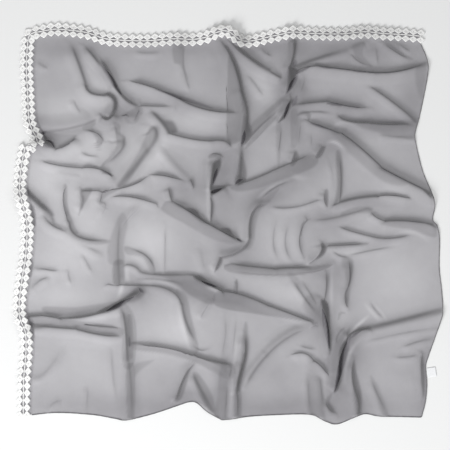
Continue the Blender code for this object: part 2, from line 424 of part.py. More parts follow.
LOOKS = {
    "chiffon": Look((0.42, 0.40, 0.44), 0.75),
    "lace": Look((0.90, 0.90, 0.89), 0.85),
    "hem": Look((0.17, 0.17, 0.18), 0.80),
    "label": Look((0.86, 0.87, 0.88), 0.70),
}


# ---- curves in the plane ----


def smooth_line(places, steps=20):
    """A Catmull-Rom curve through the places, as an array of points."""
    table = np.array(places, dtype=float)
    padded = np.vstack([2 * table[0] - table[1], table, 2 * table[-1] - table[-2]])
    t = np.linspace(0, 1, steps, endpoint=False)[:, None]
    runs = []
    for before, start, end, after in zip(padded, padded[1:], padded[2:], padded[3:]):
        bend = 2 * before - 5 * start + 4 * end - after
        twist = 3 * (start - end) + after - before
        runs.append(0.5 * (2 * start + (end - before) * t + bend * t**2 + twist * t**3))
    return np.vstack(runs + [table[-1:]])


def even_stations(places, cells):
    """cells + 1 points spread evenly along the smooth line through the places."""
    line = smooth_line(places)
    lengths = np.linalg.norm(np.diff(line, axis=0), axis=1)
    travelled = np.concatenate([[0], np.cumsum(lengths)])
    wanted = np.linspace(0, travelled[-1], cells + 1)
    return np.column_stack([np.interp(wanted, travelled, line[:, k]) for k in (0, 1)])


def unit(vectors):
    return vectors / np.linalg.norm(vectors, axis=-1, keepdims=True)


def inward_at(stations, square_on):
    """Directions into the scarf at the stations, half way between square on and across the line."""
    along = unit(np.gradient(stations, axis=0))
    across = np.column_stack([-along[:, 1], along[:, 0]])
    across *= np.sign(across @ np.array(square_on))[:, None]
    inward = unit(across + np.array(square_on))
    inward[0] = square_on
    return inward


# ---- height of the cloth ----


def ease(share):
    share = np.clip(share, 0, 1)
    return share * share * (3 - 2 * share)


def fold_line(fold):
    """Points along the curve of a fold's crest."""
    start, middle, end = np.array(fold[:6]).reshape(3, 2)
    t = np.linspace(0, 1, FOLD_STEPS + 1)[:, None]
    control = 2 * middle - (start + end) / 2
    return (1 - t) ** 2 * start + 2 * t * (1 - t) * control + t * t * end


def fold_height(fold, line, points):
    """Height in mm that one fold gives at each of the points."""
    step = np.diff(line, axis=0)
    offset = points[:, None, :] - line[None, :-1, :]
    share = np.clip((offset * step).sum(2) / (step * step).sum(1), 0, 1)
    gap = offset - share[:, :, None] * step
    distance = np.linalg.norm(gap, axis=2)
    nearest = distance.argmin(axis=1)
    row = np.arange(len(points))
    turn = step[nearest, 0] * offset[row, nearest, 1] - step[nearest, 1] * offset[row, nearest, 0]
    reach = np.where(turn > 0, max(fold.steep, MIN_FLANK), fold.wide)
    along = (nearest + share[row, nearest]) / FOLD_STEPS
    body = np.minimum(1, fold.first + (1 - fold.first) * ease(along / 0.3))
    body *= np.minimum(1, fold.last + (1 - fold.last) * ease((1 - along) / 0.3))
    return fold.height * body * ease(1 - distance[row, nearest] / reach)


def cloth_height(points):
    """Height of the cloth's underside in cm: the folds run into each other without adding up."""
    total = np.zeros(len(points))
    for fold in FOLDS:
        line = fold_line(fold)
        reach = max(fold.wide, fold.steep, MIN_FLANK)
        low, high = line.min(axis=0) - reach, line.max(axis=0) + reach
        near = np.flatnonzero(((points > low) & (points < high)).all(axis=1))
        total[near] += fold_height(fold, line, points[near]) ** 4
    return total**0.25 * MM / CM


def calm(height):
    """Heights along an edge, evened out because a sewn edge is stiffer than the cloth."""
    for _ in range(EDGE_CALM):
        inner = (height[:-2] + 2 * height[1:-1] + height[2:]) / 4
        height = np.concatenate([height[:1], inner, height[-1:]])
    return height


# ---- the laid scarf, as stations round its edge and a grid between them ----

EdgeRun = namedtuple("EdgeRun", "middle inward height")


def lace_run(places, cells, square_on):
    """Stations of the lace's middle line, the way inwards, and the cloth's height along it."""
    middle = even_stations(places, cells)
    inward = inward_at(middle, square_on)
    height = calm(cloth_height(middle + STRIP_INNER * inward))
    return EdgeRun(middle, inward, height)


def corner_run():
    """Stations of the lace's middle line round the corner, where the cloth lies flat."""
    angles = np.radians(np.linspace(90, 180, CORNER_CELLS + 1))
    outward = np.column_stack([np.cos(angles), np.sin(angles)])
    middle = np.array(LACE_CORNER) + STRIP_INNER * outward
    return EdgeRun(middle, -outward, np.zeros(len(angles)))


def across_run(run, inward_cm):
    """Points of a run at one distance inwards, with their heights."""
    return np.column_stack([run.middle + inward_cm * run.inward, run.height])


def scarf_runs():
    top = lace_run(LACE_TOP, TOP_CELLS, (0, -1))
    upper = lace_run(LACE_UPPER_LEFT, UPPER_LEFT_CELLS, (1, 0))
    lower = lace_run(LACE_LOWER_LEFT, LOWER_LEFT_CELLS, (1, 0))
    return top, upper, lower


def scarf_grid(top, upper, lower):
    """Rows from top to bottom and columns from left to right, with the strips under the lace."""
    left_inner = np.vstack([across_run(upper, STRIP_INNER), across_run(lower, STRIP_INNER)])
    left_outer = np.vstack([across_run(upper, -STRIP_OUTER), across_run(lower, -STRIP_OUTER)])
    top_inner = across_run(top, STRIP_INNER)
    top_outer = across_run(top, -STRIP_OUTER)
    rows, columns = len(left_inner) - 1, TOP_CELLS
    right = even_stations([Place(*top_inner[-1, :2])] + HEM_RIGHT[1:], rows)
    bottom = even_stations([Place(*left_inner[-1, :2])] + HEM_BOTTOM[1:], columns)

    u = np.linspace(0, 1, columns + 1)[None, :, None]
    v = np.linspace(0, 1, rows + 1)[:, None, None]
    left = left_inner[:, None, :2]
    above = top_inner[None, :, :2]
    sides = (1 - u) * left + u * right[:, None, :]
    ends = (1 - v) * above + v * bottom[None, :, :]
    corners = (1 - v) * ((1 - u) * above[:, :1] + u * above[:, -1:])
    corners = corners + v * ((1 - u) * bottom[0] + u * bottom[-1])
    plan = sides + ends - corners
    height = cloth_height(plan.reshape(-1, 2)).reshape(rows + 1, columns + 1, 1)
    inside = np.concatenate([plan, height], axis=2)
    inside[:, -2:, 2] = calm(inside[:, -1, 2])[:, None]
    inside[-2:, :, 2] = calm(inside[-1, :, 2])
    inside[0, :, 2] = top_inner[:, 2]
    inside[:, 0, 2] = left_inner[:, 2]

    corner_reach = (STRIP_INNER + STRIP_OUTER) * math.sqrt(0.5)
    corner = np.array([[LACE_CORNER.x - corner_reach, LACE_CORNER.y + corner_reach, 0.0]])
    top_row = np.vstack([corner, top_outer])[None]
    lower_rows = np.concatenate([left_outer[:, None, :], inside], axis=1)
    return np.concatenate([top_row, lower_rows], axis=0)


# ---- objects ----


def clear_scene():
    for thing in list(bpy.data.objects):
        bpy.data.objects.remove(thing, do_unlink=True)


def make_material(name):
    look = LOOKS[name]
    material = bpy.data.materials.new(name)
    material.use_nodes = True
    shader = material.node_tree.nodes["Principled BSDF"]
    shader.inputs["Base Color"].default_value = (*look.colour, 1)
    shader.inputs["Roughness"].default_value = look.roughness
    shader.inputs["Metallic"].default_value = 0
    return material


def add_object(name, data, collection, parent, material):
    thing = bpy.data.objects.new(name, data)
    collection.objects.link(thing)
    thing.parent = parent
    data.materials.append(material)
    return thing


def mesh_from(name, points, faces):
    """A mesh from points in cm."""
    mesh = bpy.data.meshes.new(name)
    mesh.from_pydata([tuple(point) for point in np.asarray(points) * CM], [], faces)
    mesh.update()
    return mesh


def face_outward(mesh):
    """Turns all the faces of a closed mesh outward."""
    build = bmesh.new()
    build.from_mesh(mesh)
    bmesh.ops.recalc_face_normals(build, faces=build.faces)
    build.to_mesh(mesh)
    build.free()


def grid_faces(rows, columns):
    """Quads of a grid whose rows run down and columns run right, facing up."""
    index = np.arange(rows * columns).reshape(rows, columns)
    quads = np.stack([index[1:, :-1], index[1:, 1:], index[:-1, 1:], index[:-1, :-1]], axis=-1)
    return quads.reshape(-1, 4).tolist()


def thicken(sheet, thickness):
    """Closes a sheet into a wall whose top lies straight above its underside."""
    build = bmesh.new()
    build.from_mesh(sheet)
    build.normal_update()
    lower_faces = list(build.faces)
    steepness = {vert.co.to_tuple(6): max(vert.normal.z, 0.4) for vert in build.verts}
    raised = bmesh.ops.extrude_face_region(build, geom=lower_faces, use_keep_orig=True)
    for vert in raised["geom"]:
        if isinstance(vert, bmesh.types.BMVert):
            vert.co.z += thickness / steepness[vert.co.to_tuple(6)]
    bmesh.ops.recalc_face_normals(build, faces=build.faces)
    build.to_mesh(sheet)
    build.free()


def make_panel(grid, collection, parent, material):
    """The chiffon: the laid grid, thinned out where it is smooth, then given its thickness."""
    rows, columns = grid.shape[:2]
    mesh = mesh_from("chiffon_panel", grid.reshape(-1, 3), grid_faces(rows, columns))
    panel = add_object("chiffon_panel", mesh, collection, parent, material)

    inside = np.zeros((rows, columns), dtype=bool)
    inside[2:-2, 2:-2] = True
    free = panel.vertex_groups.new(name="free_to_thin")
    free.add(np.flatnonzero(inside.ravel()).tolist(), 1.0, "REPLACE")
    thin = panel.modifiers.new("thin_out", "DECIMATE")
    thin.decimate_type = "COLLAPSE"
    thin.ratio = PANEL_FACES / (2 * (rows - 1) * (columns - 1))
    thin.vertex_group = free.name
    thin.vertex_group_factor = 1.0

    depsgraph = bpy.context.evaluated_depsgraph_get()
    thinned = bpy.data.meshes.new_from_object(panel.evaluated_get(depsgraph))
    for vertex in thinned.vertices:
        if vertex.co.z < RESTING:
            vertex.co.z = 0.0
    panel.modifiers.remove(thin)
    panel.vertex_groups.remove(free)
    panel.data = thinned
    bpy.data.meshes.remove(mesh)
    thinned.name = "chiffon_panel"
    thicken(thinned, CLOTH_THICKNESS)
    return panel


class LaceBuilder:
    """Collects the points and faces of a strip of lace, one half motif after another."""

    def __init__(self, runs):
        self.middle = np.vstack([run.middle for run in runs])
        self.inward = np.vstack([run.inward for run in runs])
        self.height = np.concatenate([run.height for run in runs])
        self.points = []
        self.faces = []
        self.known = {}

    def point(self, station, across_mm, top, rise=0.0):
        """Index of the point at a place along the strip, counted in stations, and across it."""
        key = (round(station, 4), across_mm, top)
        if key in self.known:
            return self.known[key]
        low = min(int(station), len(self.middle) - 2)
        share = station - low
        near, far = (
            self.middle[k] + self.inward[k] * across_mm * MM / CM for k in (low, low + 1)
        )
        plan = (1 - share) * near + share * far
        height = (1 - share) * self.height[low] + share * self.height[low + 1]
        height += (LACE_LIFT + (LACE_THICKNESS + rise if top else 0.0)) / CM
        self.points.append((plan[0], plan[1], height))
        self.known[key] = len(self.points) - 1
        return self.known[key]

    def pad(self, tip, side):
        """The raised middle of a diamond, on the top face only."""
        return self.point(tip, side * PAD_MIDDLE, True, PAD_RISE)

    def wall(self, path):
        """An upright wall under a path of (station, across) pairs."""
        for first, second in zip(path, path[1:]):
            lower = [self.point(*first, False), self.point(*second, False)]
            self.faces.append(lower + [self.point(*second, True), self.point(*first, True)])

    def half_diamond(self, tip, waist, side, top):
        """Half of one diamond: on top it rises to the pad, underneath it is plain."""
        end = tip + (waist - tip) * EYELET_CORNER
        rim = [
            self.point(tip, side * LACE_TIP, top),
            self.point(waist, side * LACE_WAIST, top),
            self.point(waist, side * EYELET_APEX, top),
            self.point(end, side * EYELET_BAR, top),
        ]
        if top:
            self.faces += [[self.pad(tip, side), a, b] for a, b in zip(rim, rim[1:])]
        else:
            self.faces += [[rim[0], rim[1], rim[2]], [rim[0], rim[2], rim[3]]]

    def half_motif(self, tip, waist):
        """The lace between a diamond's middle at station `tip` and an eyelet's at `waist`."""
        end = tip + (waist - tip) * EYELET_CORNER
        for top in (True, False):
            for side in (-1, 1):
                self.half_diamond(tip, waist, side, top)
            bar = [(end, -1), (waist, -1), (waist, 1), (end, 1)]
            self.faces.append([self.point(s, side * EYELET_BAR, top) for s, side in bar])
            if top:
                ends = [self.pad(tip, side) for side in (-1, 1)]
            else:
                ends = [self.point(tip, side * LACE_TIP, False) for side in (-1, 1)]
            corners = [self.point(end, side * EYELET_BAR, top) for side in (-1, 1)]
            self.faces.append([ends[0], corners[0], corners[1], ends[1]])
        for side in (-1, 1):
            self.wall([(tip, side * LACE_TIP), (waist, side * LACE_WAIST)])
            eyelet = [(waist, EYELET_APEX), (end, EYELET_BAR), (waist, EYELET_BAR)]
            self.wall([(station, side * across) for station, across in eyelet])

    def close_end(self, station):
        across_top = (-LACE_TIP, -PAD_MIDDLE, PAD_MIDDLE, LACE_TIP)
        ring = [self.point(station, across, True) for across in across_top]
        ring += [self.point(station, across, False) for across in (LACE_TIP, -LACE_TIP)]
        self.faces.append(ring)

    def build(self):
        last = len(self.middle) - 1
        for cell in range(0, last, 2):
            self.half_motif(cell, cell + 1)
            self.half_motif(cell + 2, cell + 1)
        self.close_end(0)
        self.close_end(last)
        return self.points, self.faces


def make_lace(name, runs, collection, parent, material):
    mesh = mesh_from(name, *LaceBuilder(runs).build())
    face_outward(mesh)
    return add_object(name, mesh, collection, parent, material)


def beside(line, distance):
    """A line parallel to another in the plan, on its left hand, with true mitres at its corners."""
    along = unit(np.diff(line[:, :2], axis=0))
    left = np.column_stack([-along[:, 1], along[:, 0]])
    before = np.vstack([left[:1], left])
    after = np.vstack([left, left[-1:]])
    mitre = (before + after) / (1 + (before * after).sum(1, keepdims=True))
    moved = line.copy()
    moved[:, :2] += distance * mitre
    return moved


def make_hem(name, edge, collection, parent, material):
    """A rolled hem just outside an edge of the panel, whose left hand looks away from the panel."""
    path = beside(edge, (HEM_RADIUS + SEAM_GAP) / CM)
    path[:, 2] += HEM_RADIUS / CM
    curve = bpy.data.curves.new(name, "CURVE")
    curve.dimensions = "3D"
    curve.bevel_depth = HEM_RADIUS
    curve.bevel_resolution = 0
    curve.use_fill_caps = True
    spline = curve.splines.new("POLY")
    spline.points.add(len(path) - 1)
    for point, place in zip(spline.points, path * CM):
        point.co = (*place, 1)
    return add_object(name, curve, collection, parent, material)


def make_label(collection, parent, material):
    """A blank woven label that sticks out of the hem, its free end a little curled."""
    out, along = LABEL_SIZE
    columns = 7
    points = []
    for across in (-0.5, 0.5):
        for column in range(columns):
            share = column / (columns - 1)
            points.append((share * out, across * along, LABEL_CURL / CM * share**3))
    faces = grid_faces(2, columns)
    mesh = mesh_from("care_label", points, [list(reversed(face)) for face in faces])
    label = add_object("care_label", mesh, collection, parent, material)
    label.location = (LABEL_PLACE.x * CM, LABEL_PLACE.y * CM, 0)
    label.rotation_euler = (0, 0, math.radians(LABEL_TURN))
    wall = label.modifiers.new("wall", "SOLIDIFY")
    wall.thickness = LABEL_THICKNESS
    wall.offset = 1.0
    return label


def centre_on_origin(root, things):
    """Moves the whole scarf so that the middle of its box, seen from above, is over the origin."""
    bpy.context.view_layer.update()
    depsgraph = bpy.context.evaluated_depsgraph_get()
    corners = []
    for thing in things:
        evaluated = thing.evaluated_get(depsgraph)
        mesh = evaluated.to_mesh()
        corners += [evaluated.matrix_world @ vertex.co for vertex in mesh.vertices]
        evaluated.to_mesh_clear()
    box = np.array(corners)
    middle = (box.min(axis=0) + box.max(axis=0)) / 2
    root.location = (-middle[0], -middle[1], -box[:, 2].min())


def main():
    clear_scene()
    collection = bpy.data.collections.new("chiffon_hijab")
    bpy.context.scene.collection.children.link(collection)
    root = bpy.data.objects.new("hijab_origin", None)
    collection.objects.link(root)
    materials = {name: make_material(name) for name in LOOKS}

    top, upper, lower = scarf_runs()
    grid = scarf_grid(top, upper, lower)
    panel = make_panel(grid, collection, root, materials["chiffon"])
    turned_top = EdgeRun(top.middle[::-1], top.inward[::-1], top.height[::-1])
    corner = EdgeRun(*(values[1:] for values in corner_run()))
    after_corner = EdgeRun(*(values[1:] for values in upper))
    upper_runs = (turned_top, corner, after_corner)
    lace_upper = make_lace("lace_trim_top_corner", upper_runs, collection, root, materials["lace"])
    lace_lower = make_lace("lace_trim_left", (lower,), collection, root, materials["lace"])
    right_edge = grid[1:, -1]
    bottom_edge = grid[-1, :0:-1]
    hem_right = make_hem("rolled_hem_right", right_edge, collection, root, materials["hem"])
    hem_bottom = make_hem("rolled_hem_bottom", bottom_edge, collection, root, materials["hem"])
    label = make_label(collection, root, materials["label"])
    centre_on_origin(root, [panel, lace_upper, lace_lower, hem_right, hem_bottom, label])


main()
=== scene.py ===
"""The looks of a square chiffon hijab with guipure lace, laid flat: sheer cloth with fallen folds,
lace on two edges, rolled hems on the other two and a blank care label.

The tables give places on the laid scarf in centimetres, x to the right and y away from the viewer.
Heights and the lace's sizes are in millimetres. Everything that goes into Blender is in metres, moved
so that the cloth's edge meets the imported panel's.
"""

import math
from collections import namedtuple

import bpy
import numpy as np
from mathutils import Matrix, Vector, noise


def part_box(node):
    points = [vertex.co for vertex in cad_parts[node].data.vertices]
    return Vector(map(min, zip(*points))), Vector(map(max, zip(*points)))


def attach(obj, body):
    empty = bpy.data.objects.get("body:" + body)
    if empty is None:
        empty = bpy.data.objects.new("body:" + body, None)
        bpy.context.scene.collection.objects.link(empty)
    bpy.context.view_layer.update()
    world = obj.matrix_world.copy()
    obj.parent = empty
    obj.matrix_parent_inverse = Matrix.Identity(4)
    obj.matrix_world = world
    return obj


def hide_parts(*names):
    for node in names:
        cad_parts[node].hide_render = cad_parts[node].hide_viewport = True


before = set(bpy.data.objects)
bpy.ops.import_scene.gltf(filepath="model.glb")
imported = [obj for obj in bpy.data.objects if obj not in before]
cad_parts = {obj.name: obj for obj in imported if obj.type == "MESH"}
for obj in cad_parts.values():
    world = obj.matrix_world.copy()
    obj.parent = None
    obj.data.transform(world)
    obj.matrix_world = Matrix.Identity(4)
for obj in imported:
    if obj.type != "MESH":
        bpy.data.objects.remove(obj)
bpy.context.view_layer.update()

CM = 0.01
MM = 0.001

# ---- sizes ----

# Stations along the edges, one for each half motif of the lace.
TOP_CELLS = 104
CORNER_CELLS = 4
UPPER_LEFT_CELLS = 30
LOWER_LEFT_CELLS = 74
LINK_CELLS = 6
STATION_POINTS = 4  # points along a run's middle line for each station

# The sheet's grid: its cells along the edges and across the strips under the lace.
COLUMNS = 300
UPPER_ROWS = 84
PLEAT_ROWS = 4
LOWER_ROWS = 209
STRIP_ROWS = 8
STRIP_INNER = 2.1  # cm inside the lace's middle line
STRIP_OUTER = 0.8  # cm outside it
CLOTH_WIDTH = 100  # cm, roughly, between the strip and the right hem
CLOTH_HEIGHT = 97  # cm, roughly, between the strip and the bottom hem

CURVE_STEPS = 40  # points between two places of an edge
OUTLINE_STEPS = 5  # points between two places of a doubled area's outline
FOLD_STEPS = 16  # straight pieces along each fold line
RIDGE_STEPS = 80  # straight pieces along each light ridge

# How many times heights along an edge are evened out.
EDGE_CALM = 2  # under the lace, from station to station
FINE_CALM = 4  # under the lace, from point to point
HEM_CALM = 8  # along the rolled hems

# Form of the folds. A pair gives where something starts and how much further on it is complete.
END_SHARE = 0.3  # share of a fold's length over which it grows from either end
SKIRT_REACH = 2.3  # how far the soft foot of a fold reaches, as a multiple of the fold's own sides
SKIRT_SHARE = 0.35  # share of a fold's height that is in its soft foot
CREST_BACK = 0.45  # how far behind its line a standing fold's crest is, as a share of its steep side
CREST_LEAN = (0.6, 0.7)  # cm of lean over which the crest comes forward to its line
STEEP_WIDENS = 0.25  # how much wider the steep side gets for each cm of lean
FALLEN_FLATTER = 0.5  # share of its height that a fully fallen fold has lost
FLATTER_LEAN = (1.0, 1.5)  # cm of lean over which it loses that
EDGE_FADE = 3.5  # cm from an edge over which folds stop leaning
JOIN = 5  # how nearly the tallest or darkest fold alone counts where folds meet
CLOTH_REST = 0.5  # mm, middle of the cloth over the surface
WAVE_HEIGHT = 0.9  # mm, the soft unevenness between the folds
WAVE_FADE = 2  # cm from an edge over which it is gone
WAVES = ((0.65, 7.5, 7.5, 3.1), (0.35, 2.6, 3.1, 9.4))  # share, lengths in cm, and place in the noise

# Painted shade of the folds, as shares of the darkness at a fold's line unless a unit is named.
DEEPEST_FOLD = 14  # mm, the height of a fold whose shaded side is darkest
DEPTH_POWER = 1.4  # how fast shade grows with height
SOFT_SHARE = 0.5  # how dark a fold's soft sides are
SOFT_REACH = 0.3  # cm, and as shares of the steep side:
SOFT_LEFT, SOFT_RIGHT = 0.8, 0.9
CRISP_HEIGHT = (3, 5)  # mm, over which a fold gets a crisp dark line
CRISP_REACH, CRISP_STEEP = 0.2, 0.4  # cm, and share of the steep side
BROAD_SHARE = 0.28  # how dark the broad shade beside a tall fold is
BROAD_HEIGHT = (6, 7)  # mm, over which a fold gets that
BROAD_REACH = 3.2  # cm over which it fades
FALLEN_SHADE = 0.4  # share of its shade that a fallen fold keeps
SHADE_LEAN = (1.0, 1.0)  # cm of lean over which it loses the rest
TAIL_REACH = 4.5  # cm behind a fallen fold's crest over which it stays a little darker
TAIL_SHARE = 0.35  # how dark that is
TAIL_END = 1.5  # cm past a fold's ends where that is gone

# Painted light and shade on the cloth, as tones.
BROAD_TONES = 0.64  # share of the cloth's range of tones that the broad patches of painted light and shade use, under the painted ridge highlights
MIDDLE_TONE = 0.445  # where in that range the cloth is that no patch reaches
OUTLINE_START = 0.3  # how far a doubled area's shade has come at its outline
RIDGE_END = 0.08  # share of a ridge's taper that is cut off at either end
RIDGE_CLEARS = 0.6  # share of the painted shade that the lightest painted ridge highlight takes away
LACE_EDGE_PAINTED_SHADOW = 0.2  # painted shadow in the cloth along the left lace's inner edge

# ---- edges of the laid scarf, cm ----

Place = namedtuple("Place", "x y")

LACE_CORNER = Place(-50.4, 48.0)  # the lace turns round this point

# Middle line of the lace along the top, from left to right.
LACE_TOP = [
    (-50.4, 50.1), (-48.5, 50.45), (-46, 50.9), (-43.5, 50.85), (-38, 50.2), (-35.5, 49.5), (-33.3, 48.7),
    (-30.5, 48.2), (-22.5, 47.9), (-15, 48.4), (-9.5, 48.3), (-6, 48.9), (-4, 49.8), (-2, 50.4),
    (-0.5, 50.2), (1, 49.2), (2.5, 48.1), (4.2, 47.75), (7, 48.1), (10, 48.9), (13, 49.5), (16.5, 50.1),
    (22, 49.8), (29, 49.7), (35, 50.25), (39.5, 49.8), (45, 49.5), (49.6, 49.1),
]

# Middle line of the lace down the left, from the corner to the pleat.
LACE_UPPER_LEFT = [
    (-52.5, 48), (-52.8, 44), (-52.9, 40), (-52.6, 35), (-52.4, 30), (-52.1, 27), (-51.4, 24.9),
    (-50.4, 23.1), (-49.8, 21.2),
]

# Middle line of the lace where it runs out from under the pleat.
LACE_LINK = [
    (-47.6, 19.6), (-49.4, 20.3), (-51.4, 20.6), (-53, 20.1),
]

# Middle line of the lace from below the pleat to the lower corner.
LACE_LOWER_LEFT = [
    (-53.2, 20.2), (-54, 16.5), (-54.5, 12.5), (-54.6, 9), (-53.4, 4), (-52.7, 0), (-52.8, -4),
    (-53.2, -9), (-54, -14), (-54.7, -19.5), (-54.7, -23), (-54, -25.5), (-53.1, -27.8), (-53, -33),
    (-53.5, -39), (-53.7, -45), (-53.7, -49.3),
]

# The hem down the right, from the lace to the lower corner.
HEM_RIGHT = [
    (49.75, 46.9), (51, 43.5), (51.4, 40.5), (50.8, 36), (50, 32), (49, 27.5), (47.95, 23.7), (48.5, 20),
    (50, 14), (52.2, 8.7), (53.1, 5.2), (52.6, 1.4), (53.8, -0.3), (54.4, -4), (54.3, -11), (54.9, -16.5),
    (55.2, -22), (54.6, -25), (52.9, -30), (51.3, -34.7), (50.8, -37), (51.1, -41.5), (50.7, -46),
    (49.7, -49.9),
]

# The hem along the bottom, from left to right.
HEM_BOTTOM = [
    (-51.6, -49.1), (-45, -48.7), (-36, -49.2), (-30, -50.2), (-26.8, -50.6), (-20, -49), (-14, -47),
    (-10.5, -45.9), (-8.5, -46.2), (-6, -48.3), (-2.8, -50.2), (-1, -50.5), (6, -49.6), (17, -49.1),
    (21.5, -49.3), (25, -51), (28.2, -51.6), (34.5, -49.1), (39, -49.6), (49.7, -49.9),
]

LABEL_PLACE = Place(51.25, -38.4)  # middle of the label's sewn end
LABEL_TURN = 8.0  # degrees, anticlockwise from pointing right
LABEL_SIZE = (2.3, 2.4)  # cm, out from the hem and along it

# ---- folds ----
# A fold lies along the smooth line through its start, middle and end places, in cm. `height` is its
# crest's height in mm. Going from start to end, its gentle side is on the right hand, `wide` cm across,
# and its steep side is on the left hand, `steep` cm across. `first` and `last` are the shares of the
# fold left at its two ends. `lean` is how far the crest leans over to the steep side, in cm.

Fold = namedtuple("Fold", "x0 y0 x1 y1 x2 y2 height wide steep first last lean")

